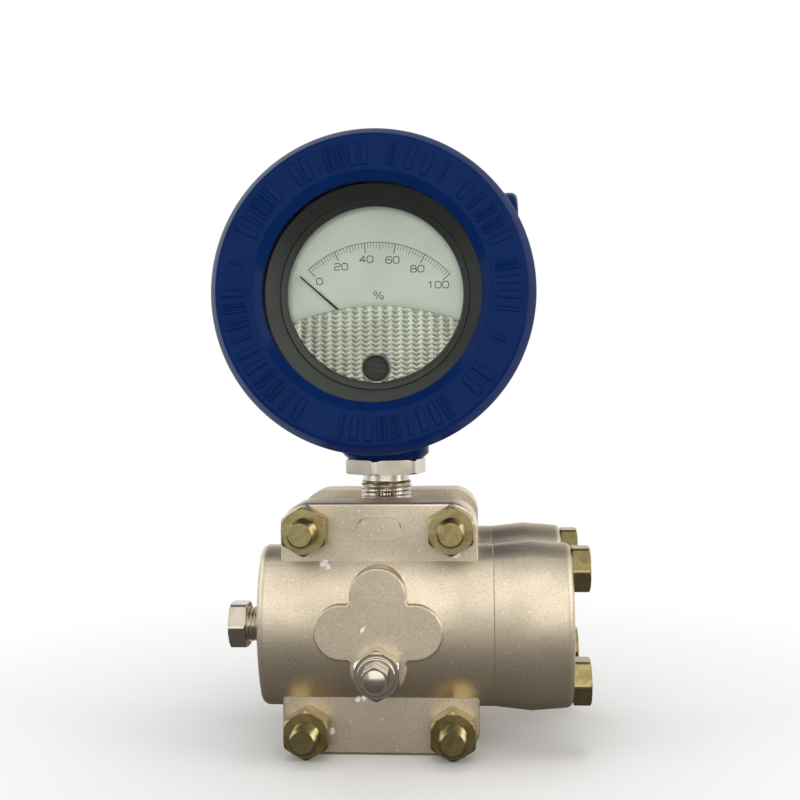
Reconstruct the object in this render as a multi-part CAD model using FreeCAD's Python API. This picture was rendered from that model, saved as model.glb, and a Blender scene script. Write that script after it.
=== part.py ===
"""Differential pressure transmitter with a dial meter, as an assembly of separate solids.

A round sensor cell is clamped between two process flanges. Oval adapters are bolted to the flanges'
right ends. A threaded neck on the cell carries a round housing with a windowed front cover, a blind
rear cover, a moving-coil meter, two circuit boards and a terminal block.

Sizes are in millimetres. While it is built, X = 0 and Y = 0 are the neck's axis, Y points from the
meter's face to the rear cover, and Z = 0 is the height of the process bores. save_nodes moves every
piece so that the origin lies below the middle of the whole part, on the surface that it stands on.
"""
import FreeCAD, Part
import math
import os

# Metric fasteners
m10_radius = 5.0
m10_across_flats = 16.0
m10_nut_height = 8.4
m10_head_height = 6.4
m10_hole_radius = 5.5
m10_tap_radius = 4.25      # tapped holes that stand empty
m10_tap_depth = 16.0
m4_radius = 2.0
m4_head_radius = 3.6
m4_head_height = 2.6
m3_radius = 1.5

# Clearances
running_gap = 0.1          # a shaft in its own bore
piece_gap = 0.3            # neighbours on different bodies
fit_gap = 0.05             # pieces seated in one another on one body

# Process flanges: a clamp plate with a barrel across it
port_offset = 27.0         # process bore from the middle plane
plate_half_width = 36.0
plate_half_height = 46.0
plate_inner = 16.7
plate_outer = 36.2
plate_corner = 10.0
plate_edge = 1.2
bolt_x = 26.4
bolt_z = 36.5
flange_bolt_projection = 8.2
barrel_half_depth = 16.5
barrel_half_height = 29.75
oval_roundness = 0.667     # end arcs' radius over the oval's half depth
barrel_left = 44.4         # barrel's end from the neck axis
barrel_right = 41.5
barrel_left_edge = 3.0
seam_edge = 0.35
process_bore_radius = 6.0
chamber_radius = 29.0
chamber_depth = 1.2
lobe_radius = 10.2
lobe_offset = 13.1
lobe_rise = 0.5            # the four-lobed pad's centre above the bores
lobe_face = 45.0
lobe_corner = 1.6
lobe_edge = 0.8
cartouche_length = 17.8
cartouche_height = 9.3
cartouche_z = 36.7
cartouche_rise = 0.45
cartouche_rim = 0.7

# Adapters
adapter_length = 28.6
adapter_ridge = 13.3       # ridge from the flange
adapter_ridge_half_height = 31.2
adapter_end_half_height = 29.9
adapter_end_edge = 3.0
adapter_bolt_z = 20.65
port_radius = 9.5
port_length = 20.0
adapter_ring_radius = 10.0
adapter_ring_wire = 1.4

# Vent valves and end plugs
vent_z = -13.1
vent_thread_radius = 6.6
vent_thread_length = 9.0
vent_seat_flats = 16.0
vent_hex_height = 7.6
vent_land_radius = 6.9
vent_land_height = 1.4
stem_radius = 3.0
stem_flats = 8.9
stem_hex_height = 5.2
stem_cone_height = 0.8
end_plug_flats = 16.0
end_plug_head = 6.4
end_plug_neck = 5.4
end_plug_radius = 6.4
end_plug_thread = 12.0
end_plug_socket_flats = 6.0
end_plug_socket_depth = 6.5

# Sensor cell
cell_radius = 39.0
cell_edge = 1.5
diaphragm_radius = 27.0
diaphragm_recess = 1.0
diaphragm_wall = 0.35
diaphragm_waves = 4
cell_ring_radius = 33.5
cell_ring_width = 2.6
cell_ring_depth = 2.0
shoulder_radius = 14.0
shoulder_drop = 3.0        # of the shoulder below the plates' top
neck_thread_radius = 10.0
neck_radius = 9.0
neck_relief = 2.25         # plain part of the neck below the lock nut
neck_relief_cone = 1.0
neck_rise = 8.25           # of the lock nut above the plates
neck_length = 14.0         # of the neck inside the housing
wire_hole_radius = 4.0
wire_hole_bottom = 20.0

# Housing
nut_flats = 27.0
nut_height = 5.65
nut_turn = 12.0
foot_radius = 17.0
foot_chamfer = 2.2
foot_height = 8.8          # of the foot below the barrel's lowest line
barrel_radius = 52.5       # of the housing between its covers
barrel_half_length = 28.0
bore_radius = 45.0
spigot_radius = 50.5       # threaded necks that carry the covers
spigot_end = 43.0
wall_half = 2.0            # dividing wall
conduit_radius = 15.7
conduit_margin = 0.8       # barrel left behind the conduit bosses
conduit_z = 28.5
conduit_end = 53.0
conduit_edge = 2.6
conduit_bore_radius = 9.5
conduit_thread_length = 12.0
conduit_way_radius = 7.5
seal_wire = 1.2
plug_socket_flats = 10.0
plug_socket_depth = 6.0
plug_flange = 2.5

# Covers
cover_radius = 57.2
cover_widest = 51.0
cover_face = 57.0
cover_skirt_draft = 0.9    # the skirt's end is this much smaller in radius than the widest line
cover_rim_taper = 3.2
window_radius = 38.4
window_mouth_radius = 41.6
window_bevel = 2.6
cover_lip = 51.5           # inner side of the cover's front wall
thread_pitch = 1.5
gasket_thickness = 0.8
glass_thickness = 5.0
glass_radius = 44.0
retainer_thickness = 2.0
retainer_inner_radius = 41.0
retainer_slot = 3.0
rear_wall = 5.5

# Meter
meter_radius = 40.3
meter_front = 42.9
meter_back = 16.0
meter_wall = 2.0
dial_opening_radius = 31.6
bezel_depth = 2.9
bezel_lip = 1.0
lens_thickness = 1.0
lens_seat = 1.4
movement_cover_rise = 0.5
movement_cover_radius = 33.0
movement_cover_drop = 3.0
dial_front = 36.0
dial_thickness = 0.8
pivot_drop = 17.3          # pointer's pivot below the housing axis
pointer_length = 36.9
pointer_start = -48.2      # degrees from upright
pointer_plane = 36.8
pointer_thickness = 0.4
pointer_root = 1.3
pointer_tip = 0.45
pointer_tail = 6.5
staff_radius = 0.8
hub_radius = 2.0
coil_inner = 9.0
coil_outer = 10.2
coil_half_width = 2.2
coil_front = 34.2
coil_back = 19.4
coil_bar = 1.2
core_radius = 8.2
yoke_inner_radius = 11.0
yoke_outer_radius = 15.0
yoke_front = 32.2
yoke_back = 21.4
yoke_bridge = 3.0
adjuster_drop = 26.3       # zero screw below the housing axis
adjuster_radius = 4.9
adjuster_slot = 1.3
adjuster_slot_depth = 1.0
adjuster_rise = 0.6        # of the head in front of the raised field
adjuster_shank = 1.6

# Circuit boards and terminals
board_radius = 41.0
board_thickness = 1.6
front_board = 10.6
rear_board = 5.0
post_radius = 2.6
post_circle = 33.0
chip_circle = 20.0
chip_sizes = ((14.0, 9.0, 2.2), (8.0, 8.0, 1.6), (11.0, 5.0, 3.0), (6.0, 12.0, 2.6))
terminal_width = 58.0
terminal_height = 20.0
terminal_depth = 12.0
terminal_screw_sink = 3.0
terminal_drop = 14.0
terminal_count = 4
terminal_rib = 1.6
terminal_rib_rise = 5.0
earth_x = 24.0
earth_drop = -6.0

# Derived places
shoulder_z = plate_half_height - shoulder_drop
nut_bottom = plate_half_height + neck_rise
neck_thread_top = nut_bottom - neck_relief
foot_bottom = nut_bottom + nut_height
housing_z = foot_bottom + foot_height + barrel_radius
conduit_y = barrel_half_length - conduit_radius - conduit_margin
adapter_end = barrel_right + adapter_length
part_left = -max(barrel_left + end_plug_neck + end_plug_head, cover_radius)
part_right = adapter_end + m10_head_height
centre_x = (part_left + part_right) / 2
glass_front = cover_lip - gasket_thickness
retainer_front = glass_front - glass_thickness
lens_front = meter_front - bezel_depth - bezel_lip
pivot_z = housing_z - pivot_drop
adjuster_z = housing_z - adjuster_drop
adjuster_reach = lens_front - lens_thickness - coil_front - piece_gap
cover_bore_radius = spigot_radius + piece_gap
cover_skirt_radius = cover_radius - cover_skirt_draft
cover_rim_radius = cover_radius - cover_rim_taper

FRONT = FreeCAD.Vector(0, -1, 0)
REAR = FreeCAD.Vector(0, 1, 0)
RIGHT = FreeCAD.Vector(1, 0, 0)
LEFT = FreeCAD.Vector(-1, 0, 0)
UP = FreeCAD.Vector(0, 0, 1)


def point(x, y, z):
    return FreeCAD.Vector(x, y, z)


def pointed(shape, direction, at):
    """Turn a shape built along +Z so that it points along a direction from a place."""
    placed = shape.copy()
    placed.Placement = FreeCAD.Placement(at, FreeCAD.Rotation(UP, direction))
    return placed


def rod(radius, length, direction=UP, at=point(0, 0, 0)):
    return pointed(Part.makeCylinder(radius, length), direction, at)


def tube(outer, inner, length, direction=UP, at=point(0, 0, 0)):
    return rod(outer, length, direction, at).cut(rod(inner, length, direction, at))


def turned(profile, direction=UP, at=point(0, 0, 0)):
    """Revolve a closed profile of (radius, distance along the axis) pairs."""
    wire = Part.makePolygon([point(r, 0, z) for r, z in profile + profile[:1]])
    solid = Part.Face(wire).revolve(point(0, 0, 0), UP, 360)
    return pointed(solid, direction, at)


def hexagon(across_flats, height, chamfered_ends=(True, True), turn=0.0):
    """Hexagonal prism along +Z, its corners taken off by 30 degree cones. Corners on X at no turn."""
    corner = across_flats / math.sqrt(3)
    angles = [math.radians(turn + 60 * i) for i in range(7)]
    outline = [point(corner * math.cos(a), corner * math.sin(a), 0) for a in angles]
    prism = Part.Face(Part.makePolygon(outline)).extrude(point(0, 0, height))
    inscribed = across_flats / 2 * 0.97
    drop = (corner - inscribed) * math.tan(math.radians(30))
    low, high = [drop if end else 0.0 for end in chamfered_ends]
    profile = [(0, 0), (corner if not low else inscribed, 0), (corner, low), (corner, height - high),
               (corner if not high else inscribed, height), (0, height)]
    profile = [p for i, p in enumerate(profile) if i == 0 or p != profile[i - 1]]
    return prism.common(turned(profile))


def circle_edges(shape, direction, radius, distance):
    """Edges that are circles about a line along direction, of a radius, at a distance along it."""
    found = []
    for edge in shape.Edges:
        curve = edge.Curve
        if curve.TypeId == "Part::GeomCircle" and abs(curve.Radius - radius) < 0.01:
            if abs(curve.Center.dot(direction) - distance) < 0.01:
                found.append(edge)
    return found


def rounded(shape, direction, rounds):
    """Round circular edges given as (radius of the edge, distance along the direction, rounding)."""
    for radius, distance, rounding in rounds:
        shape = shape.makeFillet(rounding, circle_edges(shape, direction, radius, distance))
    return shape


def rounded_plate(half_width, half_height, corner, near, far):
    """Plate square to Y with rounded corners, from Y = near to Y = far."""
    plate = Part.makeBox(2 * half_width, abs(far - near), 2 * half_height,
                         point(-half_width, min(near, far), -half_height))
    uprights = [e for e in plate.Edges if abs(e.tangentAt(e.FirstParameter).y) > 0.9]
    return plate.makeFillet(corner, uprights)


def stadium(length, height, near, far, z):
    """Bar with round ends, square to Y, from Y = near to Y = far."""
    half = (length - height) / 2
    bar = Part.makeBox(2 * half, far - near, height, point(-half, near, z - height / 2))
    for x in (-half, half):
        bar = bar.fuse(rod(height / 2, far - near, REAR, point(x, near, z)))
    return bar.removeSplitter().Solids[0]


def oval(half_depth, half_height, x, y):
    """Upright oval of four tangent arcs, square to X."""
    end = half_depth * oval_roundness
    rise = half_height - end
    side = (half_depth ** 2 + rise ** 2 - end ** 2) / (2 * (half_depth - end))
    share = side / (side - end)
    ty = (side - half_depth) * (share - 1)
    tz = rise * share
    corners = [(ty, tz), (-ty, tz), (-ty, -tz), (ty, -tz)]
    middles = [(0, half_height), (-half_depth, 0), (0, -half_height), (half_depth, 0)]
    arcs = []
    for i, (my, mz) in enumerate(middles):
        ends = [point(x, y + cy, cz) for cy, cz in (corners[i], corners[(i + 1) % 4])]
        arcs.append(Part.Arc(ends[0], point(x, y + my, mz), ends[1]).toShape())
    return Part.Wire(arcs)


def mirrored(shape):
    """The same piece on the rear side of the middle plane."""
    return shape.mirror(point(0, 0, 0), REAR)


def bolt_places():
    return [(x, z) for x in (-bolt_x, bolt_x) for z in (-bolt_z, bolt_z)]


# Process side

def lobed_pad():
    """Four overlapping lobes round a middle disc, rounded in the notches between them."""
    depth = lobe_face - port_offset
    pad = rod(lobe_offset, depth, REAR, point(0, -lobe_face, lobe_rise))
    for x, z in ((lobe_offset, 0), (-lobe_offset, 0), (0, lobe_offset), (0, -lobe_offset)):
        pad = pad.fuse(rod(lobe_radius, depth, REAR, point(x, -lobe_face, lobe_rise + z)))
    pad = pad.removeSplitter()
    notch = (lobe_offset + math.sqrt(2 * lobe_radius ** 2 - lobe_offset ** 2)) / 2
    edges = [e for e in pad.Edges if abs(abs(e.CenterOfMass.x) - notch) < 0.01
             and abs(abs(e.CenterOfMass.z - lobe_rise) - notch) < 0.01 and e.Length > 0.9 * depth]
    pad = pad.makeFillet(lobe_corner, edges)
    return pad.makeFillet(lobe_edge, [e for e in pad.Edges if e.BoundBox.YMax < 0.01 - lobe_face]).Solids[0]


def process_flange():
    """Front flange: clamp plate, barrel, four-lobed pad and cartouche, bored and tapped."""
    plate = rounded_plate(plate_half_width, plate_half_height, plate_corner, -plate_outer, -plate_inner)
    rim = [e for e in plate.Edges if e.BoundBox.YMax < -plate_outer + 0.01]
    plate = plate.makeFillet(plate_edge, rim)
    barrel = Part.Face(oval(barrel_half_depth, barrel_half_height, -barrel_left, -port_offset))
    barrel = barrel.extrude(point(barrel_left + barrel_right, 0, 0))
    barrel = barrel.makeFillet(barrel_left_edge, [e for e in barrel.Edges if e.BoundBox.XMax < 0])
    barrel = barrel.makeFillet(seam_edge, [e for e in barrel.Edges if e.BoundBox.XMin > barrel_right - 0.01])
    keep = Part.makeBox(2 * barrel_left, 2 * port_offset, 2 * plate_half_height,
                        point(-barrel_left, -2 * port_offset - plate_inner, -plate_half_height))
    flange = plate.fuse(barrel.common(keep)).removeSplitter().fuse(lobed_pad())
    label = stadium(cartouche_length, cartouche_height, -plate_outer - cartouche_rise,
                    1 - plate_outer, cartouche_z)
    inside = stadium(cartouche_length - 2 * cartouche_rim, cartouche_height - 2 * cartouche_rim,
                     -plate_outer - 2 * cartouche_rise, 2 - plate_outer, cartouche_z)
    flange = flange.fuse(label.cut(inside)).removeSplitter()
    for cutter in flange_bores():
        flange = flange.cut(cutter)
    return flange.Solids[0]


def flange_bores():
    """Everything drilled in the front flange."""
    bores = [rod(m10_hole_radius, plate_outer, REAR, point(x, -plate_outer - 1, z)) for x, z in bolt_places()]
    axis = point(0, -port_offset, 0)
    bores.append(rod(process_bore_radius, barrel_right + 1, RIGHT, axis))
    bores.append(rod(process_bore_radius, barrel_left - end_plug_thread + 1, LEFT, axis))
    bores.append(rod(end_plug_radius + fit_gap, end_plug_thread + 1, RIGHT,
                     point(-barrel_left - 1, -port_offset, 0)))
    for z in (-adapter_bolt_z, adapter_bolt_z):
        bores.append(rod(m10_radius + fit_gap, m10_tap_depth, LEFT, point(barrel_right, -port_offset, z)))
        bores.append(rod(m10_tap_radius, m10_tap_depth, RIGHT, point(-barrel_left, -port_offset, z)))
    bores.append(rod(vent_thread_radius + fit_gap, vent_thread_length, REAR, point(0, -lobe_face, vent_z)))
    bores.append(rod(stem_radius, lobe_face - plate_inner, REAR, point(0, -lobe_face, vent_z)))
    bores.append(rod(chamber_radius, chamber_depth, FRONT, point(0, -plate_inner, 0)))
    bores.append(tube(cell_ring_radius + cell_ring_width / 2, cell_ring_radius - cell_ring_width / 2,
                      cell_ring_depth, FRONT, point(0, -plate_inner, 0)))
    bores.append(rod(stem_radius, port_offset - plate_inner, REAR, axis))
    return bores


def ring_seals():
    """Square-shouldered seals between the cell and both flanges."""
    outer, inner = cell_ring_radius + cell_ring_width / 2, cell_ring_radius - cell_ring_width / 2
    front = tube(outer, inner, cell_ring_depth, FRONT, point(0, -plate_inner, 0))
    return Part.makeCompound([front, mirrored(front)])


def flange_bolts():
    bolts = []
    for x, z in bolt_places():
        head = hexagon(m10_across_flats, m10_head_height, (False, True), 30)
        length = 2 * plate_outer + m10_nut_height + flange_bolt_projection
        chamfer = m10_radius * 0.2
        shank = turned([(0, 0), (m10_radius, 0), (m10_radius, length - chamfer),
                        (m10_radius - chamfer, length), (0, length)])
        bolts.append(pointed(head, REAR, point(x, plate_outer, z)).fuse(
            pointed(shank, FRONT, point(x, plate_outer, z))).removeSplitter())
    return Part.makeCompound(bolts)


def flange_nuts():
    nut = hexagon(m10_across_flats, m10_nut_height, (False, True), 90)
    nut = nut.cut(rod(m10_radius + fit_gap, m10_nut_height))
    return Part.makeCompound([pointed(nut, FRONT, point(x, -plate_outer, z)) for x, z in bolt_places()])


def adapter():
    """Front adapter: an oval block, widest at its ridge, with a tapped port in its end face."""
    scale = barrel_half_depth / barrel_half_height
    x0, x1, x2 = barrel_right, barrel_right + adapter_ridge, adapter_end
    start = oval(barrel_half_depth, barrel_half_height, x0, -port_offset)
    ridge = oval(adapter_ridge_half_height * scale, adapter_ridge_half_height, x1, -port_offset)
    end = oval(adapter_end_half_height * scale, adapter_end_half_height, x2, -port_offset)
    outer = Part.makeLoft([ridge, end], True)
    outer = outer.makeFillet(adapter_end_edge, [e for e in outer.Edges if e.BoundBox.XMin > x2 - 0.01])
    inner = Part.makeLoft([start, ridge], True)
    inner = inner.makeFillet(seam_edge, [e for e in inner.Edges if e.BoundBox.XMax < x0 + 0.01])
    block = outer.fuse(inner)
    block = block.cut(rod(port_radius, port_length, LEFT, point(x2, -port_offset, 0)))
    block = block.cut(rod(process_bore_radius, adapter_length, RIGHT, point(x0, -port_offset, 0)))
    block = block.cut(rod(adapter_ring_radius, adapter_ring_wire, RIGHT, point(x0, -port_offset, 0)))
    for z in (-adapter_bolt_z, adapter_bolt_z):
        block = block.cut(rod(m10_hole_radius, adapter_length, RIGHT, point(x0, -port_offset, z)))
    return block


def adapter_seals():
    ring = tube(adapter_ring_radius, process_bore_radius, adapter_ring_wire, RIGHT,
                point(barrel_right, -port_offset, 0))
    return Part.makeCompound([ring, mirrored(ring)])


def adapter_bolts():
    bolts = []
    for y in (-port_offset, port_offset):
        for z in (-adapter_bolt_z, adapter_bolt_z):
            head = hexagon(m10_across_flats, m10_head_height, (False, True), 30)
            shank = rod(m10_radius, adapter_length + m10_tap_depth - 2, LEFT, point(adapter_end, y, z))
            bolts.append(pointed(head, RIGHT, point(adapter_end, y, z)).fuse(shank).removeSplitter())
    return Part.makeCompound(bolts)


def end_plug():
    """Hexagon plug in the left end of the front flange's bore."""
    neck = rod(end_plug_radius, end_plug_thread + end_plug_neck)
    head = hexagon(end_plug_flats, end_plug_head, (True, True), 90)
    plug = neck.fuse(head.translated(point(0, 0, end_plug_thread + end_plug_neck))).removeSplitter()
    return pointed(plug, LEFT, point(end_plug_thread - barrel_left, -port_offset, 0))


def flush_end_plug():
    """Hexagon-socket plug in the left end of the rear flange's bore."""
    socket = hexagon(end_plug_socket_flats, end_plug_socket_depth, (False, False))
    plug = rod(end_plug_radius, end_plug_thread).cut(
        socket.translated(point(0, 0, end_plug_thread - end_plug_socket_depth)))
    return pointed(plug, LEFT, point(end_plug_thread - barrel_left, port_offset, 0))


def vent_seat():
    """Hexagon body of the front vent valve, bored for its stem."""
    seat = rod(vent_thread_radius, vent_thread_length)
    base = vent_thread_length
    seat = seat.fuse(hexagon(vent_seat_flats, vent_hex_height).translated(point(0, 0, base)))
    base += vent_hex_height
    seat = seat.fuse(rod(vent_land_radius, vent_land_height, UP, point(0, 0, base)))
    seat = seat.cut(rod(stem_radius + running_gap, base + vent_land_height, UP, point(0, 0, 1)))
    seat = seat.cut(rod(stem_radius / 2, 2)).removeSplitter()
    return pointed(seat, FRONT, point(0, vent_thread_length - lobe_face, vent_z))


def vent_stem():
    """Stem of the front vent valve with its hexagon end."""
    length = vent_thread_length + vent_hex_height + vent_land_height
    gap = piece_gap
    stem = turned([(0, 1 + gap), (stem_radius / 2, 1 + gap), (stem_radius, 2 + gap + stem_radius / 2),
                   (stem_radius, length + gap), (0, length + gap)])
    hexa = hexagon(stem_flats, stem_hex_height, (False, True), 30).translated(point(0, 0, length + gap))
    top = length + gap + stem_hex_height
    cone = Part.makeCone(stem_flats / 2 * 0.97, stem_flats / 4, stem_cone_height, point(0, 0, top))
    stem = stem.fuse(hexa).fuse(cone).removeSplitter()
    return pointed(stem, FRONT, point(0, vent_thread_length - lobe_face, vent_z))


def cell_body():
    """Round sensor cell with its shoulder and threaded neck."""
    half = plate_inner
    disc = turned([(0, -half), (cell_radius - cell_edge, -half), (cell_radius, cell_edge - half),
                   (cell_radius, half - cell_edge), (cell_radius - cell_edge, half), (0, half)], REAR)
    top = foot_bottom + neck_length
    neck = turned([(0, 0), (shoulder_radius, 0), (shoulder_radius, shoulder_z), (neck_thread_radius, shoulder_z),
                   (neck_thread_radius, neck_thread_top - neck_relief_cone), (neck_radius, neck_thread_top),
                   (neck_radius, top), (0, top)])
    cell = disc.fuse(neck).removeSplitter()
    cell = cell.cut(rod(wire_hole_radius, top - wire_hole_bottom, UP, point(0, 0, wire_hole_bottom)))
    for direction in (FRONT, REAR):
        cell = cell.cut(rod(diaphragm_radius + fit_gap, diaphragm_recess, direction * -1, direction * half))
    return cell


def isolating_diaphragm():
    """Thin corrugated disc in the cell's front recess, clamped at its rim."""
    seat = plate_inner - diaphragm_recess
    step = diaphragm_radius / (2 * diaphragm_waves + 1)
    height = diaphragm_recess / 3
    near = [(i * step, seat + (height if i % 2 else 0.0)) for i in range(2 * diaphragm_waves + 1)]
    near.append((diaphragm_radius, seat))
    far = [(r, y + diaphragm_wall) for r, y in reversed(near)]
    return turned(near + far, FRONT)


# Housing

def neck_lock_nut():
    nut = hexagon(nut_flats, nut_height, (True, True), nut_turn)
    nut = nut.cut(rod(neck_radius + fit_gap, nut_height))
    return nut.translated(point(0, 0, nut_bottom))


def housing_body():
    """Cast barrel with a foot, two conduit bosses, a dividing wall and two cover spigots."""
    half, end = barrel_half_length, spigot_end
    shell = turned([(0, -end), (spigot_radius, -end), (spigot_radius, -half), (barrel_radius, -half),
                    (barrel_radius, half), (spigot_radius, half), (spigot_radius, end), (0, end)], REAR)
    shell = shell.translated(point(0, 0, housing_z))
    rise = housing_z - bore_radius - foot_bottom
    foot = turned([(0, 0), (foot_radius - foot_chamfer, 0), (foot_radius, foot_chamfer),
                   (foot_radius, rise), (0, rise)])
    shell = shell.fuse(foot.translated(point(0, 0, foot_bottom)))
    boss_z = housing_z + conduit_z
    boss = rod(conduit_radius, 2 * conduit_end, RIGHT, point(-conduit_end, conduit_y, boss_z))
    boss = rounded(boss, RIGHT, [(conduit_radius, -conduit_end, conduit_edge),
                                 (conduit_radius, conduit_end, conduit_edge)])
    shell = shell.fuse(boss).removeSplitter()
    middle = point(0, 0, housing_z)
    shell = shell.cut(rod(bore_radius, end, FRONT, middle - REAR * wall_half))
    shell = shell.cut(rod(bore_radius, end, REAR, middle + REAR * wall_half))
    shell = shell.cut(rod(neck_radius + running_gap, rise + wall_half, UP, point(0, 0, foot_bottom - 1)))
    shell = shell.cut(rod(conduit_way_radius, 2 * conduit_end, RIGHT, point(-conduit_end, conduit_y, boss_z)))
    for side, direction in ((conduit_end, LEFT), (-conduit_end, RIGHT)):
        shell = shell.cut(rod(conduit_bore_radius, conduit_thread_length, direction,
                              point(side, conduit_y, boss_z)))
    return shell


def conduit_plug():
    """Blanking plug with a hexagon socket in the left conduit boss."""
    depth = conduit_thread_length - 1
    plug = rod(conduit_bore_radius - fit_gap, depth).fuse(
        rod(conduit_bore_radius + 2, plug_flange, UP, point(0, 0, depth)))
    plug = rounded(plug.removeSplitter(), UP, [(conduit_bore_radius + 2, depth + plug_flange, 0.8)])
    socket = hexagon(plug_socket_flats, plug_socket_depth, (False, False))
    plug = plug.cut(socket.translated(point(0, 0, depth + plug_flange - plug_socket_depth)))
    return pointed(plug, LEFT, point(depth - conduit_end, conduit_y, housing_z + conduit_z))


def cover_outline():
    """Outer profile that both covers share, as (radius, distance from the middle) pairs."""
    return [(cover_skirt_radius, barrel_half_length + seal_wire + piece_gap), (cover_radius, cover_widest),
            (cover_rim_radius, cover_face)]


def cover_rounds():
    return [(cover_radius, cover_widest, 2.5), (cover_rim_radius, cover_face, 1.2)]


def front_cover():
    """Screwed ring with a bevelled window mouth."""
    skirt = barrel_half_length + seal_wire + piece_gap
    profile = [(cover_bore_radius, skirt)] + cover_outline()
    profile += [(window_mouth_radius, cover_face), (window_radius, cover_face - window_bevel),
                (window_radius, cover_lip), (cover_bore_radius, cover_lip)]
    cover = rounded(turned(profile, FRONT), FRONT, cover_rounds() + [(window_mouth_radius, cover_face, 0.8)])
    return cover.translated(point(0, 0, housing_z))


def rear_cover():
    """Screwed blind cover."""
    skirt = barrel_half_length + seal_wire + piece_gap
    profile = [(cover_bore_radius, skirt)] + cover_outline()
    profile += [(window_mouth_radius, cover_face), (window_radius, cover_face - window_bevel),
                (0, cover_face - window_bevel), (0, cover_face - rear_wall), (cover_bore_radius, cover_face - rear_wall)]
    cover = rounded(turned(profile, REAR), REAR, cover_rounds() + [(window_mouth_radius, cover_face, 0.8)])
    return cover.translated(point(0, 0, housing_z))


def cover_seal(direction):
    """Ring seal round a spigot, between the barrel's shoulder and a cover's skirt."""
    return tube(spigot_radius + piece_gap + 2 * seal_wire, spigot_radius + piece_gap, seal_wire, direction,
                point(0, 0, housing_z) + direction * (barrel_half_length + piece_gap / 2))


def window_gasket():
    return tube(glass_radius, window_radius + 0.6, gasket_thickness, REAR, point(0, -cover_lip, housing_z))


def window_glass():
    return rod(glass_radius, glass_thickness, REAR, point(0, -glass_front, housing_z))


def glass_retainer():
    """Threaded ring that holds the glass, with two slots for a spanner."""
    ring = tube(cover_bore_radius - fit_gap, retainer_inner_radius, retainer_thickness, REAR,
                point(0, -retainer_front, housing_z))
    slot = Part.makeBox(2 * cover_radius, retainer_thickness / 2, retainer_slot,
                        point(-cover_radius, -retainer_front + retainer_thickness / 2,
                              housing_z - retainer_slot / 2))
    return ring.cut(slot)


# Meter

def meter_case():
    """Moulded cup with a sloping bezel, a lens seat, a floor and two pivot bosses."""
    lip_back = lens_front + bezel_lip
    inner = meter_radius - meter_wall
    cavity = dial_opening_radius + lens_seat
    profile = [(0, meter_back), (meter_radius, meter_back), (meter_radius, meter_front),
               (meter_radius - 1.2, meter_front), (dial_opening_radius, lip_back),
               (dial_opening_radius, lens_front), (cavity, lens_front),
               (cavity, dial_front - dial_thickness), (inner, dial_front - dial_thickness),
               (inner, meter_back + meter_wall), (0, meter_back + meter_wall)]
    case = turned(profile, FRONT).translated(point(0, 0, housing_z))
    boss = rod(3.0, coil_back - piece_gap - meter_back - meter_wall, FRONT, point(0, -meter_back - meter_wall, pivot_z))
    bearing = rod(staff_radius + running_gap, coil_back, FRONT, point(0, -meter_back - 1, pivot_z))
    return case.fuse(boss).cut(bearing)


def meter_lens():
    """Clear disc with a raised field over the movement and a hole for the zero screw."""
    back = lens_front - lens_thickness
    disc = rod(dial_opening_radius + lens_seat - fit_gap, lens_thickness, FRONT, point(0, -back, housing_z))
    field = rod(dial_opening_radius - 0.4, lens_thickness + movement_cover_rise, FRONT, point(0, -back, housing_z))
    limit = rod(movement_cover_radius, lens_thickness + 2 * movement_cover_rise, FRONT,
                point(0, -back, housing_z - movement_cover_radius - movement_cover_drop))
    lens = disc.fuse(field.common(limit)).removeSplitter()
    return lens.cut(rod(adjuster_radius + piece_gap, meter_front, FRONT, point(0, 0, adjuster_z)))


def dial_plate():
    """Printed disc with holes for the staff and the zero screw."""
    plate = rod(dial_opening_radius + lens_seat - fit_gap, dial_thickness, REAR, point(0, -dial_front, housing_z))
    plate = plate.cut(rod(staff_radius + 0.5, meter_front, FRONT, point(0, 0, pivot_z)))
    return plate.cut(rod(adjuster_shank + piece_gap, meter_front, FRONT, point(0, 0, adjuster_z)))


def pointer():
    """Thin tapered arm on a hub and staff, drawn upright and then turned to the scale's start."""
    outline = [point(-pointer_root / 2, 0, 0), point(-pointer_tip / 2, 0, pointer_length),
               point(pointer_tip / 2, 0, pointer_length), point(pointer_root / 2, 0, 0),
               point(pointer_root, 0, -pointer_tail), point(-pointer_root, 0, -pointer_tail)]
    arm = Part.Face(Part.makePolygon(outline + outline[:1])).extrude(FRONT * pointer_thickness)
    arm = arm.translated(point(0, -pointer_plane, 0))
    hub = rod(hub_radius, 2 * pointer_thickness, FRONT, point(0, -pointer_plane, 0))
    staff = rod(staff_radius, pointer_plane - coil_front, FRONT, point(0, -coil_front, 0))
    needle = arm.fuse(hub).fuse(staff).removeSplitter()
    needle.rotate(point(0, 0, 0), REAR, pointer_start)
    return needle.translated(point(0, 0, pivot_z))


def moving_coil():
    """Rectangular coil frame on its rear staff, in line with the pointer."""
    depth = coil_front - coil_back
    frame = Part.makeBox(2 * coil_half_width, depth, 2 * coil_outer,
                         point(-coil_half_width, -coil_front, -coil_outer))
    window = Part.makeBox(4 * coil_half_width, depth - 2 * coil_bar, 2 * coil_inner,
                          point(-2 * coil_half_width, coil_bar - coil_front, -coil_inner))
    frame = frame.cut(window)
    frame = frame.fuse(rod(staff_radius, coil_back - meter_back - 2 * piece_gap - 1, REAR, point(0, -coil_back, 0)))
    frame.rotate(point(0, 0, 0), REAR, pointer_start)
    return frame.translated(point(0, 0, pivot_z))


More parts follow.
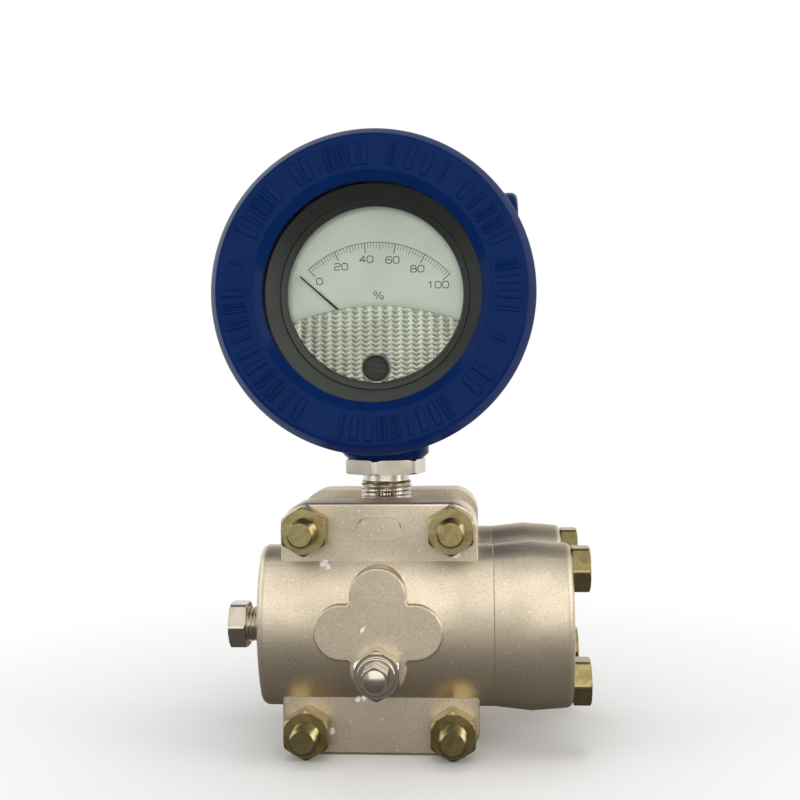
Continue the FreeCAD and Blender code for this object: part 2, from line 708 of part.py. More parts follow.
def magnet_yoke():
    """Ring round a core, joined by two bridges in the sectors that the coil never reaches."""
    length = yoke_front - yoke_back
    ring = tube(yoke_outer_radius, yoke_inner_radius, length)
    bridge = Part.makeBox(yoke_inner_radius * 2 + 1, yoke_bridge, length,
                          point(-yoke_inner_radius - 0.5, -yoke_bridge / 2, 0))
    yoke = ring.fuse(rod(core_radius, length)).fuse(bridge)
    foot = tube(yoke_outer_radius, yoke_outer_radius - 2, yoke_back - meter_back - meter_wall, UP,
                point(0, 0, -(yoke_back - meter_back - meter_wall)))
    return pointed(yoke.fuse(foot).removeSplitter(), FRONT, point(0, -yoke_back, pivot_z))


def zero_adjust_screw():
    """Slotted head in the lens, with its shank through the dial."""
    front = lens_front + movement_cover_rise + adjuster_rise
    back = lens_front - lens_thickness
    head = rod(adjuster_radius, front - back, FRONT, point(0, -back, adjuster_z))
    shank = rod(adjuster_shank, adjuster_reach, REAR, point(0, -back, adjuster_z))
    slot = Part.makeBox(3 * adjuster_radius, adjuster_slot_depth, adjuster_slot,
                        point(-1.5 * adjuster_radius, -front, adjuster_z - adjuster_slot / 2))
    return head.fuse(shank).removeSplitter().cut(slot)


# Boards and terminals

def post_places():
    return [(post_circle * math.cos(math.radians(a)), post_circle * math.sin(math.radians(a)))
            for a in (90, 210, 330)]


def circuit_board(y, turn):
    """Round board with its post holes and a ring of components on its front side."""
    board = rod(board_radius, board_thickness, FRONT, point(0, -y, housing_z))
    for x, z in post_places():
        board = board.cut(rod(m3_radius, meter_front, FRONT, point(x, 0, housing_z + z)))
    for i, (width, height, rise) in enumerate(chip_sizes):
        angle = math.radians(turn + 90 * i)
        chip = Part.makeBox(width, rise, height, point(-width / 2, -y - board_thickness - rise, -height / 2))
        board = board.fuse(chip.translated(point(chip_circle * math.cos(angle), 0,
                                                 housing_z + chip_circle * math.sin(angle))))
    return board.removeSplitter()


def board_standoffs():
    """Posts from the dividing wall through both boards to the meter's floor."""
    spans = ((wall_half, rear_board), (rear_board + board_thickness, front_board),
             (front_board + board_thickness, meter_back))
    return Part.makeCompound([rod(post_radius, far - near, FRONT, point(x, -near, housing_z + z))
                              for x, z in post_places() for near, far in spans])


def terminal_places():
    pitch = (terminal_width - terminal_rib) / terminal_count
    return [(i - (terminal_count - 1) / 2) * pitch for i in range(terminal_count)]


def terminal_block():
    """Moulded block on the dividing wall, with ribs between its terminals."""
    z = housing_z - terminal_drop
    block = Part.makeBox(terminal_width, terminal_depth, terminal_height,
                         point(-terminal_width / 2, wall_half, z - terminal_height / 2))
    block = block.makeFillet(1.5, [e for e in block.Edges if abs(e.tangentAt(e.FirstParameter).y) > 0.9])
    pitch = (terminal_width - terminal_rib) / terminal_count
    for i in range(terminal_count + 1):
        x = -terminal_width / 2 + i * pitch
        inset = 1.5 if i in (0, terminal_count) else 0.0
        rib = Part.makeBox(terminal_rib, terminal_rib_rise, terminal_height - 2 * inset,
                           point(x, wall_half + terminal_depth, z - terminal_height / 2 + inset))
        block = block.fuse(rib)
    for x in terminal_places():
        block = block.cut(rod(m4_radius + fit_gap, terminal_depth - 2, REAR, point(x, wall_half + 2, z)))
    return block.removeSplitter()


def slotted_screw(length):
    """Pan-head screw along +Z whose head rests on Z = 0."""
    screw = rod(m4_head_radius, m4_head_height).fuse(rod(m4_radius, length, UP, point(0, 0, -length)))
    slot = Part.makeBox(3 * m4_head_radius, 1.0, 1.2, point(-1.5 * m4_head_radius, -0.5, m4_head_height - 1.2))
    return screw.removeSplitter().cut(slot)


def terminal_screws():
    seat = wall_half + terminal_depth
    return Part.makeCompound([pointed(slotted_screw(terminal_depth - terminal_screw_sink), REAR,
                                      point(x, seat, housing_z - terminal_drop)) for x in terminal_places()])


def ground_screw():
    """Earth screw on the dividing wall, on its washer."""
    at = point(earth_x, wall_half, housing_z - earth_drop)
    washer = rod(m4_head_radius + 1.2, 1.0)
    screw = slotted_screw(0.5).translated(point(0, 0, 1.0))
    return pointed(washer.fuse(screw).removeSplitter(), REAR, at)


def nodes():
    flange, block, seat, stem = process_flange(), adapter(), vent_seat(), vent_stem()
    diaphragm = isolating_diaphragm()
    return {
        "cell_body": cell_body(),
        "isolating_diaphragm_front": diaphragm,
        "isolating_diaphragm_rear": mirrored(diaphragm),
        "process_seals": ring_seals(),
        "process_flange_front": flange,
        "process_flange_rear": mirrored(flange),
        "flange_bolts": flange_bolts(),
        "flange_nuts": flange_nuts(),
        "adapter_front": block,
        "adapter_rear": mirrored(block),
        "adapter_seals": adapter_seals(),
        "adapter_bolts": adapter_bolts(),
        "end_plug_front": end_plug(),
        "end_plug_rear": flush_end_plug(),
        "vent_seat_front": seat,
        "vent_seat_rear": mirrored(seat),
        "vent_stem_front": stem,
        "vent_stem_rear": mirrored(stem),
        "neck_lock_nut": neck_lock_nut(),
        "housing_body": housing_body(),
        "conduit_plug": conduit_plug(),
        "front_cover": front_cover(),
        "front_cover_seal": cover_seal(FRONT),
        "window_gasket": window_gasket(),
        "window_glass": window_glass(),
        "glass_retainer": glass_retainer(),
        "rear_cover": rear_cover(),
        "rear_cover_seal": cover_seal(REAR),
        "meter_case": meter_case(),
        "meter_lens": meter_lens(),
        "dial_plate": dial_plate(),
        "pointer": pointer(),
        "moving_coil": moving_coil(),
        "magnet_yoke": magnet_yoke(),
        "zero_adjust_screw": zero_adjust_screw(),
        "amplifier_board": circuit_board(front_board, 45),
        "calibration_board": circuit_board(rear_board, 0),
        "board_standoffs": board_standoffs(),
        "terminal_block": terminal_block(),
        "terminal_screws": terminal_screws(),
        "ground_screw": ground_screw(),
    }


def save_nodes():
    os.makedirs("parts", exist_ok=True)
    for name, shape in nodes().items():
        placed = shape.translated(point(-centre_x, 0, plate_half_height))
        placed.exportStep(f"parts/{name}.step")


save_nodes()
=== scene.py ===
"""Looks of the differential pressure transmitter: finishes, smooth surfaces, threads, dial print and studio.

All sizes in the classes are millimetres, and MM turns them into metres. Places come from the packed
model's boxes. X points right, Y from the dial to the rear cover, and Z up.
"""
import logging
import math
from dataclasses import dataclass, field
from enum import Enum

import bmesh
import bpy
import numpy as np
from mathutils import Matrix, Vector


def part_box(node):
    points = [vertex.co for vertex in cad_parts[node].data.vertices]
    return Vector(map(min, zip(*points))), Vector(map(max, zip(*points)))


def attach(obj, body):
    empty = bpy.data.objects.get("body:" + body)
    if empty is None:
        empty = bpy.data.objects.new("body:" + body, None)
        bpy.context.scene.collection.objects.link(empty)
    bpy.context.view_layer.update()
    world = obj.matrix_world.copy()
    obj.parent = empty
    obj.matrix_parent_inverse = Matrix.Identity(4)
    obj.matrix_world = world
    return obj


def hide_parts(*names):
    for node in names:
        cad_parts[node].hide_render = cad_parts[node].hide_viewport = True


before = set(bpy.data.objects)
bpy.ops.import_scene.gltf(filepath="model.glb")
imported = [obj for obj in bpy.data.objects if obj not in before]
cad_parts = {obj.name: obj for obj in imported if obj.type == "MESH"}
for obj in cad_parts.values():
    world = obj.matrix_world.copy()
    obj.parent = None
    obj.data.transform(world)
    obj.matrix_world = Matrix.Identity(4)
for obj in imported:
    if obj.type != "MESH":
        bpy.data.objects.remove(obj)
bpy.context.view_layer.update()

MM = 0.001
TAU = 2 * math.pi
LOG = logging.getLogger("transmitter")
ROUND_STEPS = 192       # round a turned piece or a hexagon
THREAD_STEPS = 72       # round a thread
THREAD_ROWS = 8         # along one turn of a thread
SHARP_CAST, SHARP_BODY, SHARP_HEX, SHARP_MOULDED = 7.0, 8.0, 22.0, 40.0     # degrees where edges stay sharp

Array = np.ndarray
Node = bpy.types.Node
Socket = bpy.types.NodeSocket
Piece = bpy.types.Object
Triple = tuple[float, float, float]
Pair = tuple[float, float]
Path = list[Pair]


class Axis(Enum):
    """Directions that a turned piece can point in, each as (side, other side, along) unit vectors."""

    FRONT = ((1, 0, 0), (0, 0, 1), (0, -1, 0))
    REAR = ((-1, 0, 0), (0, 0, 1), (0, 1, 0))
    UP = ((1, 0, 0), (0, 1, 0), (0, 0, 1))
    RIGHT = ((0, 1, 0), (0, 0, 1), (1, 0, 0))
    LEFT = ((0, -1, 0), (0, 0, 1), (-1, 0, 0))


class Mark(Enum):
    """Raised marks on the covers' bands, which mean nothing: half their width, and half their spacing."""

    PAD = (0.75, 0.0)
    TWIN_RIBS = (0.08, 0.95)
    RIB = (0.15, 0.0)


# Surfaces

@dataclass
class Surface:
    """Points and faces of one mesh, gathered from several grids."""

    points: list[Array] = field(default_factory=list)
    faces: list[Array] = field(default_factory=list)
    count: int = 0

    def grid(self, points: Array, wrap_u: bool = False, wrap_v: bool = False) -> "Surface":
        """Add a grid of points, joined into quads.

        Args:
            points: Places as an array of shape (u, v, 3), in metres.
            wrap_u: True where the last row joins the first.
            wrap_v: True where the last column joins the first.

        Returns:
            The same surface.
        """
        rows, columns = points.shape[:2]
        u = np.arange(rows if wrap_u else rows - 1)
        v = np.arange(columns if wrap_v else columns - 1)
        uu, vv = np.meshgrid(u, v, indexing="ij")
        up, vp = (uu + 1) % rows, (vv + 1) % columns
        quads = np.stack([uu * columns + vv, up * columns + vv, up * columns + vp, uu * columns + vp], -1)
        self.points.append(points.reshape(-1, 3))
        self.faces.append(quads.reshape(-1, 4) + self.count)
        self.count += rows * columns
        return self

    def fan(self, ring: Array) -> "Surface":
        """Close a ring of points with a face to their middle, and return the same surface."""
        centre = np.repeat(ring.mean(0)[None], len(ring), 0)
        return self.grid(np.stack([ring, centre]), wrap_v=True)

    def join(self, other: "Surface") -> "Surface":
        """Take another surface's points and faces in.

        Args:
            other: The surface to add.

        Returns:
            The same surface.
        """
        self.points += other.points
        self.faces += [faces + self.count for faces in other.faces]
        self.count += other.count
        return self

    def mesh(self, name: str, sharp: float = 35.0, outward: bool = True) -> Piece:
        """Make the object, with equal points merged and smooth shading up to an angle.

        Args:
            name: Name of the piece.
            sharp: Degrees over which an edge stays sharp.
            outward: True to turn all faces outward, which needs a closed mesh.

        Returns:
            The new object.
        """
        data = bpy.data.meshes.new(name)
        data.from_pydata(np.concatenate(self.points), [], np.concatenate(self.faces).tolist())
        return finished_mesh(name, data, sharp, outward)


def finished_mesh(name: str, data: bpy.types.Mesh, sharp: float, outward: bool) -> Piece:
    """Merge a mesh's equal points, drop its flat faces and give it an object.

    Args:
        name: Name of the piece.
        data: The mesh, in place.
        sharp: Degrees over which an edge stays sharp.
        outward: True to turn all faces outward.

    Returns:
        The new object.
    """
    work = bmesh.new()
    work.from_mesh(data)
    bmesh.ops.remove_doubles(work, verts=work.verts, dist=1e-7)
    bmesh.ops.dissolve_degenerate(work, edges=work.edges, dist=1e-8)
    if outward:
        bmesh.ops.recalc_face_normals(work, faces=work.faces)
    work.to_mesh(data)
    work.free()
    data.shade_smooth()
    data.set_sharp_from_angle(angle=math.radians(sharp))
    piece = bpy.data.objects.new(name, data)
    bpy.context.scene.collection.objects.link(piece)
    return piece


def rounded_outline(corners: list[Triple], steps: int = 6, closed: bool = True) -> Array:
    """Polygon whose corners are arcs.

    Each arc starts and ends where it touches its two sides, at radius / tan(half the corner's angle)
    from the corner, and bulges towards it.

    Args:
        corners: (x, y, radius) of each corner.
        steps: Points of each arc less one.
        closed: False for an open line whose ends stay as they are.

    Returns:
        Array of shape (n, 2).
    """
    xy = np.array([c[:2] for c in corners], float)
    out = []
    for i, (*_, radius) in enumerate(corners):
        here = xy[i]
        if radius <= 0 or (not closed and i in (0, len(corners) - 1)):
            out.append(here[None])
            continue
        a = xy[i - 1] - here
        b = xy[(i + 1) % len(corners)] - here
        a, b = a / np.linalg.norm(a), b / np.linalg.norm(b)
        half = math.acos(np.clip(a @ b, -1, 1)) / 2
        centre = here + (a + b) / np.linalg.norm(a + b) * radius / math.sin(half)
        start, end = here + a * radius / math.tan(half), here + b * radius / math.tan(half)
        s, e = start - centre, end - centre
        sweep = math.pi - 2 * half
        t = np.linspace(0, 1, steps + 1)[:, None]
        share = [np.sin(part * sweep) / math.sin(sweep) for part in (1 - t, t)]
        out.append(centre + share[0] * s + share[1] * e)
    return np.concatenate(out)


def stroke(path: Path, width: float) -> tuple[Array, Array]:
    """Left and right edges of a line of constant width, mitred at its bends.

    Each point moves by half the width over the cosine of half the bend, along the mean normal.

    Args:
        path: Points of the line.
        width: Its width.

    Returns:
        Two arrays of the path's length.
    """
    line = np.array(path, float)
    along = np.diff(line, axis=0)
    along /= np.linalg.norm(along, axis=1)[:, None]
    normal = np.stack([-along[:, 1], along[:, 0]], -1)
    before, after = np.concatenate([normal[:1], normal]), np.concatenate([normal, normal[-1:]])
    if np.allclose(line[0], line[-1]):
        before[0], after[-1] = normal[-1], normal[0]
    mean = before + after
    mean /= np.linalg.norm(mean, axis=1)[:, None]
    reach = width / 2 / np.maximum((mean * after).sum(1), 0.4)
    return line + mean * reach[:, None], line - mean * reach[:, None]


@dataclass(frozen=True)
class Stand:
    """Where a turned piece stands: its direction, and the place in metres of its distance 0."""

    axis: Axis
    at: Vector

    def placed(self, local: Array) -> Array:
        """Places in metres of local (side, other side, along) millimetres."""
        return local @ np.array(self.axis.value, float) * MM + np.array(self.at)

    def rings(self, radius: Array, angle: Array, along: Array) -> Array:
        """Places of (r cos a, r sin a, t), with radii r and distances t in rows and angles a in columns."""
        return self.placed(np.stack([radius * np.cos(angle), radius * np.sin(angle), along + 0 * angle], -1))

    def revolved(self, corners: list[Triple], steps: int = 6, count: int = ROUND_STEPS) -> Surface:
        """Closed ring or disc from (radius, distance, rounding) corners turned round the axis."""
        outline, angle = rounded_outline(corners, steps), np.arange(count) * TAU / count
        return Surface().grid(self.rings(outline[:, :1], angle, outline[:, 1:]), wrap_u=True, wrap_v=True)

    def hexagonal(self, flats: float, heights: Pair, hole: float, chamfers: Pair,
                  turn: float, edge: float = 0.25) -> Surface:
        """Hexagon nut or head with chamfered ends.

        The side's radius at angle a is flats / 2 / cos(a taken to the nearest flat), softened at the
        corners, and no more than the 30 degree cone from each chamfered end.

        Args:
            flats: Width across flats.
            heights: Low and high end along the axis.
            hole: Radius of the hole, or 0.
            chamfers: How far in from the corner circle each end's cone starts.
            turn: Angle of a corner in degrees.
            edge: Rounding of the upright corners.

        Returns:
            A closed surface.
        """
        low, high = heights
        corner = flats / math.sqrt(3)
        angle = np.arange(ROUND_STEPS) * TAU / ROUND_STEPS
        folded = (angle - math.radians(turn)) % (math.pi / 3) - math.pi / 6
        side = np.minimum(flats / 2 / np.cos(folded), corner - edge)
        ends = np.linspace(0, 1, 13)
        z = np.concatenate([low + ends * (high - low) * 0.35, high - (1 - ends) * (high - low) * 0.35])
        slope = 1 / math.tan(math.radians(30))
        cone = np.full_like(z, corner)
        for chamfer, inwards in zip(chamfers, (z - low, high - z)):
            if chamfer > 0:
                cone = np.minimum(cone, corner - chamfer + inwards * slope)
        ring = np.full_like(side, hole)
        radius = np.concatenate([ring[None], np.minimum(side[None], cone[:, None]), ring[None]])
        z = np.concatenate([[low], z, [high]])[:, None]
        return Surface().grid(self.rings(radius, angle, z), wrap_u=hole > 0, wrap_v=True)

    def threaded(self, radius: float, depth: float, pitch: float, span: Pair,
                 tip: float) -> Surface:
        """Threaded rod: at angle a and distance t the radius falls by depth times a rounded triangle wave
        of t / pitch - a / turn, and is cut by a 45 degree cone at its far end.

        Args:
            radius: Outer radius.
            depth: Depth of the thread.
            pitch: Length of one turn of it.
            span: Start and end along the axis.
            tip: Length of the end's chamfer.

        Returns:
            A closed surface.
        """
        start, end = span
        angle = np.arange(THREAD_STEPS) * TAU / THREAD_STEPS
        t = np.linspace(start, end, max(int((end - start) / pitch * THREAD_ROWS), THREAD_ROWS))[:, None]
        phase = (t / pitch - angle / TAU) % 1.0
        wave = np.clip(np.abs(phase * 2 - 1) * 1.3 - 0.15, 0, 1)
        points = self.rings(np.minimum(radius - depth * wave, radius - tip + (end - t)), angle, t)
        return Surface().grid(points, wrap_v=True).fan(points[0]).fan(points[-1])


# Finishes

@dataclass(frozen=True)
class Graph:
    """Node tree of a material or the world, with short calls for the nodes used here."""

    tree: bpy.types.NodeTree

    @property
    def shader(self) -> Node:
        """The material's Principled shader."""
        return self.tree.nodes["Principled BSDF"]

    @property
    def colour(self) -> Socket:
        """What feeds the shader's colour so far."""
        return self.shader.inputs["Base Color"].links[0].from_socket

    def feed(self, entry: Socket, value: Socket | float | tuple) -> None:
        """Link an input to a socket, or set its value.

        Args:
            entry: The input.
            value: Its source or its value.
        """
        if isinstance(value, bpy.types.NodeSocket):
            self.tree.links.new(value, entry)
        else:
            entry.default_value = value

    def shade(self, **inputs: Socket | float | tuple) -> None:
        """Feed the shader's inputs, whose spaces are written as underscores."""
        for name, value in inputs.items():
            self.feed(self.shader.inputs[name.replace("_", " ")], value)

    def node(self, kind: str, *sources: Socket | float | tuple, operation: str = "",
             **inputs: Socket | float | tuple) -> Node:
        """Add a node and feed its inputs.

        Args:
            kind: The node's type after "ShaderNode".
            sources: What feeds its first inputs, in order.
            operation: Its operation, or none.
            inputs: What feeds inputs by name, whose spaces are written as underscores.

        Returns:
            The new node.
        """
        made = self.tree.nodes.new("ShaderNode" + kind)
        if operation:
            made.operation = operation
        for entry, value in zip(made.inputs, sources):
            self.feed(entry, value)
        for name, value in inputs.items():
            self.feed(made.inputs[name.replace("_", " ")], value)
        return made

    def object_place(self) -> Socket:
        """The object's own coordinates."""
        return self.node("TexCoord").outputs["Object"]

    def noise(self, scale: float, detail: float) -> Socket:
        """Value of a noise on the object's own coordinates, with its scale per metre."""
        return self.node("TexNoise", Vector=self.object_place(), Scale=scale, Detail=detail).outputs["Fac"]

    def ramp(self, source: Socket, stops: tuple) -> Socket:
        """Colour ramp over a value.

        Args:
            source: The value.
            stops: (position, colour) pairs in order.

        Returns:
            The colour.
        """
        node = self.node("ValToRGB", source)
        elements = node.color_ramp.elements
        while len(elements) < len(stops):
            elements.new(0.5)
        for element, (position, colour) in zip(elements, stops):
            element.position = position
            element.color = (*colour, 1)
        return node.outputs["Color"]

    def remap(self, source: Socket, a: float, b: float, c: float, d: float) -> Socket:
        """Value taken from the range a to b into the range c to d, and held there."""
        return self.node("MapRange", source, a, b, c, d).outputs["Result"]

    def combined(self, operation: str, a: Socket, b: Socket | float) -> Socket:
        """Result of a Math node over two values."""
        return self.node("Math", a, b, operation=operation).outputs[0]

    def blended(self, share: Socket, first: Socket, second: Triple) -> Socket:
        """Colour mixed from a socket's towards a fixed one by a share from 0 to 1."""
        return self.node("MixRGB", share, first, (*second, 1)).outputs["Color"]

    def bumped(self, height: Socket, depth: float) -> Socket:
        """Normal of a bump, with the depth of height 1 in millimetres."""
        return self.node("Bump", Height=height, Distance=depth * MM, Strength=1.0).outputs["Normal"]

    def output(self, share: Socket, first: Socket, second: Socket) -> None:
        """Send two shaders, mixed by the second one's share, to the material's output."""
        mix = self.node("MixShader", share, first, second)
        self.feed(self.tree.nodes["Material Output"].inputs["Surface"], mix.outputs[0])


@dataclass(frozen=True)
class Finish:
    """A material with its colour, gloss, patches of wear and fine bump, and the slot that it fills."""

    name: str
    colour: Triple
    roughness: float
    metallic: float = 0.0
    coat: float = 0.0
    specular: float = 0.5
    grain: float = 900.0
    bump: float = 0.0
    mottle: float = 0.0
    mottle_scale: float = 60.0
    tints: tuple = ()
    slot: str = ""

    def material(self) -> bpy.types.Material:
        """Find the material, or make it on its first use.

        Returns:
            The material.
        """
        found = bpy.data.materials.get(self.name + "_finish")
        if found:
            return found
        made = bpy.data.materials.new(self.name + "_finish")
        made.use_nodes = True
        self.wire(Graph(made.node_tree))
        return made

    def wire(self, graph: Graph) -> None:
        """Set the shader's values and add colour patches, uneven gloss, tints and fine bump.

        Args:
            graph: The material's nodes.
        """
        graph.shade(Base_Color=(*self.colour, 1), Metallic=self.metallic, Roughness=self.roughness,
                    Specular_IOR_Level=self.specular, Coat_Weight=self.coat, Coat_Roughness=0.08)
        if self.mottle:
            patches = graph.noise(self.mottle_scale, 6.0)
            low = tuple(c * (1 - self.mottle) for c in self.colour)
            high = tuple(min(c * (1 + 0.6 * self.mottle), 1) for c in self.colour)
            graph.shade(Base_Color=graph.ramp(patches, ((0.32, low), (0.68, high))),
                        Roughness=graph.remap(patches, 0.3, 0.7, self.roughness * 1.15, self.roughness * 0.85))
        if self.tints:
            graph.shade(Base_Color=graph.ramp(graph.noise(150.0, 2.0), self.tints))
        if self.bump:
            graph.shade(Normal=graph.bumped(graph.noise(self.grain, 3.0), self.bump))


@dataclass(frozen=True)
class BlastedCasting(Finish):
    """Bead-blasted stainless casting: fine grain, soft patches, dark pits and a few bright specks."""

    def wire(self, graph: Graph) -> None:
        """Lay pits and specks over the common colour patches.

        Args:
            graph: The material's nodes.
        """
        super().wire(graph)
        fine = graph.noise(2300.0, 2.0)
        worn = graph.blended(graph.remap(fine, 0.34, 0.52, 0.38, 0.0), graph.colour, (0.34, 0.29, 0.22))
        specks = graph.remap(graph.noise(700.0, 1.0), 0.735, 0.75, 0.0, 0.8)
        both = graph.combined("ADD", graph.noise(self.grain, 3.0), graph.combined("MULTIPLY", fine, 0.6))
        graph.shade(Base_Color=graph.blended(specks, worn, (0.95, 0.93, 0.88)),
                    Normal=graph.bumped(both, self.bump))


@dataclass(frozen=True)
class MarkedCasting(BlastedCasting):
    """Casting with dabs of white marking paint on its front.

    Each dab is the X, the Z and the radius of a blot in millimetres, whose edge wanders with a noise.
    """

    dabs: tuple[Triple, ...] = ()

    def wire(self, graph: Graph) -> None:
        """Lay the dabs over the casting's nodes.

        Args:
            graph: The material's nodes.
        """
        super().wire(graph)
        parts = graph.node("SeparateXYZ", graph.object_place()).outputs
        front = graph.remap(parts["Y"], -20.0 * MM, -19.0 * MM, 1.0, 0.0)
        edge = graph.remap(graph.noise(900.0, 2.0), 0.3, 0.7, -0.5 * MM, 0.5 * MM)
        level = graph.node("CombineXYZ", X=parts["X"], Z=parts["Z"]).outputs[0]
        paint = None
        for x, z, reach in self.dabs:
            away = graph.node("VectorMath", level, (x * MM, 0.0, z * MM), operation="DISTANCE")
            blurred = graph.combined("ADD", away.outputs["Value"], edge)
            blot = graph.remap(blurred, (reach - 0.15) * MM, (reach + 0.15) * MM, 1.0, 0.0)
            paint = graph.combined("MAXIMUM", blot, paint) if paint else blot
        paint = graph.combined("MULTIPLY", paint, front)
        graph.shade(Base_Color=graph.blended(paint, graph.colour, (0.80, 0.77, 0.70)),
                    Metallic=graph.remap(paint, 0.0, 1.0, 1.0, 0.0))


@dataclass(frozen=True)
class ColumnedPlastic(Finish):
    """Clear ridged plastic with painted shade in the gaps between its columns, so the columns look lit, at the
    columns' pitch along X.
    """

    pitch: float = 3.65
    # Share by which the colour darkens in the gaps between columns: painted shade.
    gap: float = 0.45

    def wire(self, graph: Graph) -> None:
        """Paint shade into the gaps between the columns by a sine of X.

        Args:
            graph: The material's nodes.
        """
        super().wire(graph)
        wave = graph.node("TexWave", Vector=graph.object_place(), Scale=TAU / (20.0 * self.pitch * MM))
        # Painted shade: the colour darkens towards 0.3 of itself in the gaps between the columns.
        share = graph.remap(wave.outputs["Fac"], 0.15, 0.85, self.gap, 0.0)
        graph.shade(Base_Color=graph.blended(share, graph.colour, tuple(0.30 * c for c in self.colour)))


@dataclass(frozen=True)
class GlossPaint(Finish):
    """Thick glossy paint with a faint orange-peel surface."""

    def wire(self, graph: Graph) -> None:
        """Add the slow waves of the paint film to the fine bump.

        Args:
            graph: The material's nodes.
        """
        super().wire(graph)
        waves = graph.combined("MULTIPLY", graph.noise(110.0, 1.0), 4.0)
        graph.shade(Normal=graph.bumped(graph.combined("ADD", graph.noise(self.grain, 2.0), waves), self.bump))


@dataclass(frozen=True)
class Glass(Finish):
    """Clear pane: what lies behind it, with a mirror image laid over it by Fresnel's law."""

    index: float = 1.13

    def wire(self, graph: Graph) -> None:
        """Replace the common shader by a mix of see-through and mirror, which only entering rays meet.

        Args:
            graph: The material's nodes.
        """
        clear = graph.node("BsdfTransparent", Color=(*self.colour, 1))
        mirror = graph.node("BsdfGlossy", Roughness=self.roughness)
        fresnel = graph.node("Fresnel", IOR=self.index)
        entering = graph.remap(graph.node("NewGeometry").outputs["Backfacing"], 0.0, 1.0, 1.0, 0.0)
        graph.output(graph.combined("MULTIPLY", fresnel.outputs[0], entering), clear.outputs[0],
                     mirror.outputs[0])
        graph.tree.nodes.remove(graph.shader)


BLUE_PAINT = GlossPaint("blue_paint", (0.0018, 0.0160, 0.086), 0.15, specular=0.05, grain=420.0,
                        bump=0.010, mottle=0.10, mottle_scale=90.0, slot="blue_paint")
CAST_STEEL = BlastedCasting("cast_steel", (0.80, 0.70, 0.545), 0.47, metallic=1.0, grain=2600.0, bump=0.030,
                            mottle=0.16, mottle_scale=34.0, slot="cast_stainless")
MARKED_CASTING = MarkedCasting(**vars(CAST_STEEL) | {"name": "marked_casting", "dabs": (
    (-29.7, 70.2, 1.4), (-28.1, 69.0, 0.9), (18.6, 73.0, 1.1), (-14.8, 47.6, 0.9), (-17.7, 20.4, 1.1),
    (-15.9, 21.0, 1.0), (-27.6, 8.8, 1.2), (-29.6, 9.4, 0.8))})
TURNED_STEEL = Finish("turned_steel", (0.62, 0.565, 0.475), 0.22, metallic=1.0, grain=1800.0, bump=0.004,
                      mottle=0.10, mottle_scale=120.0, slot="machined_stainless")
THREAD_STEEL = Finish("thread_steel", (0.58, 0.52, 0.42), 0.30, metallic=1.0, grain=1800.0, bump=0.004,
                      mottle=0.25, mottle_scale=160.0, slot="machined_stainless")
YELLOW_ZINC = Finish("yellow_zinc", (0.38, 0.33, 0.15), 0.30, metallic=1.0, grain=1500.0, bump=0.012,
                     mottle=0.1, slot="yellow_zinc", tints=(
                         (0.30, (0.33, 0.22, 0.12)), (0.42, (0.36, 0.28, 0.12)), (0.50, (0.44, 0.37, 0.18)),
                         (0.58, (0.35, 0.31, 0.14)), (0.70, (0.43, 0.32, 0.19))))
RUBBER = Finish("seal_rubber", (0.02, 0.02, 0.02), 0.6, bump=0.01)
PTFE = Finish("white_ptfe", (0.8, 0.8, 0.77), 0.45, bump=0.004)
PANE = Glass("window_pane", (0.97, 0.985, 0.975), 0.02)
CLEAR_LENS = Glass("clear_lens", (0.985, 0.99, 0.98), 0.05)
BLACK_PLASTIC = Finish("black_plastic", (0.018, 0.018, 0.018), 0.42, grain=1400.0, bump=0.01)
BLACK_BEZEL = Finish("black_bezel", (0.015, 0.016, 0.013), 0.30, grain=2200.0, bump=0.006,
                     slot="black_plastic")
SCREW_BLACK = Finish("screw_black", (0.012, 0.012, 0.012), 0.55, grain=1400.0, bump=0.01, slot="black_plastic")
DIAL_CARD = Finish("dial_card", (0.76, 0.79, 0.74), 0.42, metallic=0.3, grain=1400.0, bump=0.006,
                   mottle=0.08, mottle_scale=45.0)
RIBBED_FIELD = ColumnedPlastic("ribbed_field", (0.62, 0.63, 0.53), 0.22, metallic=0.6, grain=900.0,
                               bump=0.004, mottle=0.2, mottle_scale=90.0, slot="clear_plastic")
BLACK_INK = Finish("black_ink", (0.02, 0.022, 0.02), 0.5, bump=0.002, slot="dial_face")
POINTER_BLACK = Finish("pointer_black", (0.03, 0.03, 0.03), 0.4, metallic=0.4, bump=0.002)
COPPER = Finish("copper_wire", (0.62, 0.28, 0.12), 0.3, metallic=1.0, grain=2500, bump=0.02)
PLAIN_STEEL = Finish("plain_steel", (0.36, 0.36, 0.37), 0.4, metallic=1.0, bump=0.01, mottle=0.1)
GREEN_BOARD = Finish("green_board", (0.01, 0.10, 0.04), 0.35, coat=0.5, bump=0.01, mottle=0.1)
NICKEL = Finish("nickel_brass", (0.66, 0.62, 0.5), 0.25, metallic=1.0, bump=0.004)
DARK_CARD = Finish("dark_card", (0.13, 0.12, 0.115), 0.9)

CAD_FINISHES = {
    TURNED_STEEL: "cell_body isolating_diaphragm_front isolating_diaphragm_rear end_plug_front end_plug_rear "
                  "vent_seat_front vent_seat_rear vent_stem_front vent_stem_rear neck_lock_nut conduit_plug",
    CAST_STEEL: "process_flange_front process_flange_rear adapter_front adapter_rear",
    YELLOW_ZINC: "flange_bolts flange_nuts adapter_bolts",
    BLUE_PAINT: "housing_body front_cover rear_cover",
    PTFE: "process_seals adapter_seals",
    RUBBER: "front_cover_seal window_gasket rear_cover_seal",
    PANE: "window_glass",
    CLEAR_LENS: "meter_lens",
    PLAIN_STEEL: "glass_retainer magnet_yoke",
    BLACK_BEZEL: "meter_case",
    DIAL_CARD: "dial_plate",
    POINTER_BLACK: "pointer",
    COPPER: "moving_coil",
    SCREW_BLACK: "zero_adjust_screw",
    GREEN_BOARD: "amplifier_board calibration_board",
    BLACK_PLASTIC: "terminal_block",
    NICKEL: "board_standoffs terminal_screws ground_screw",
}


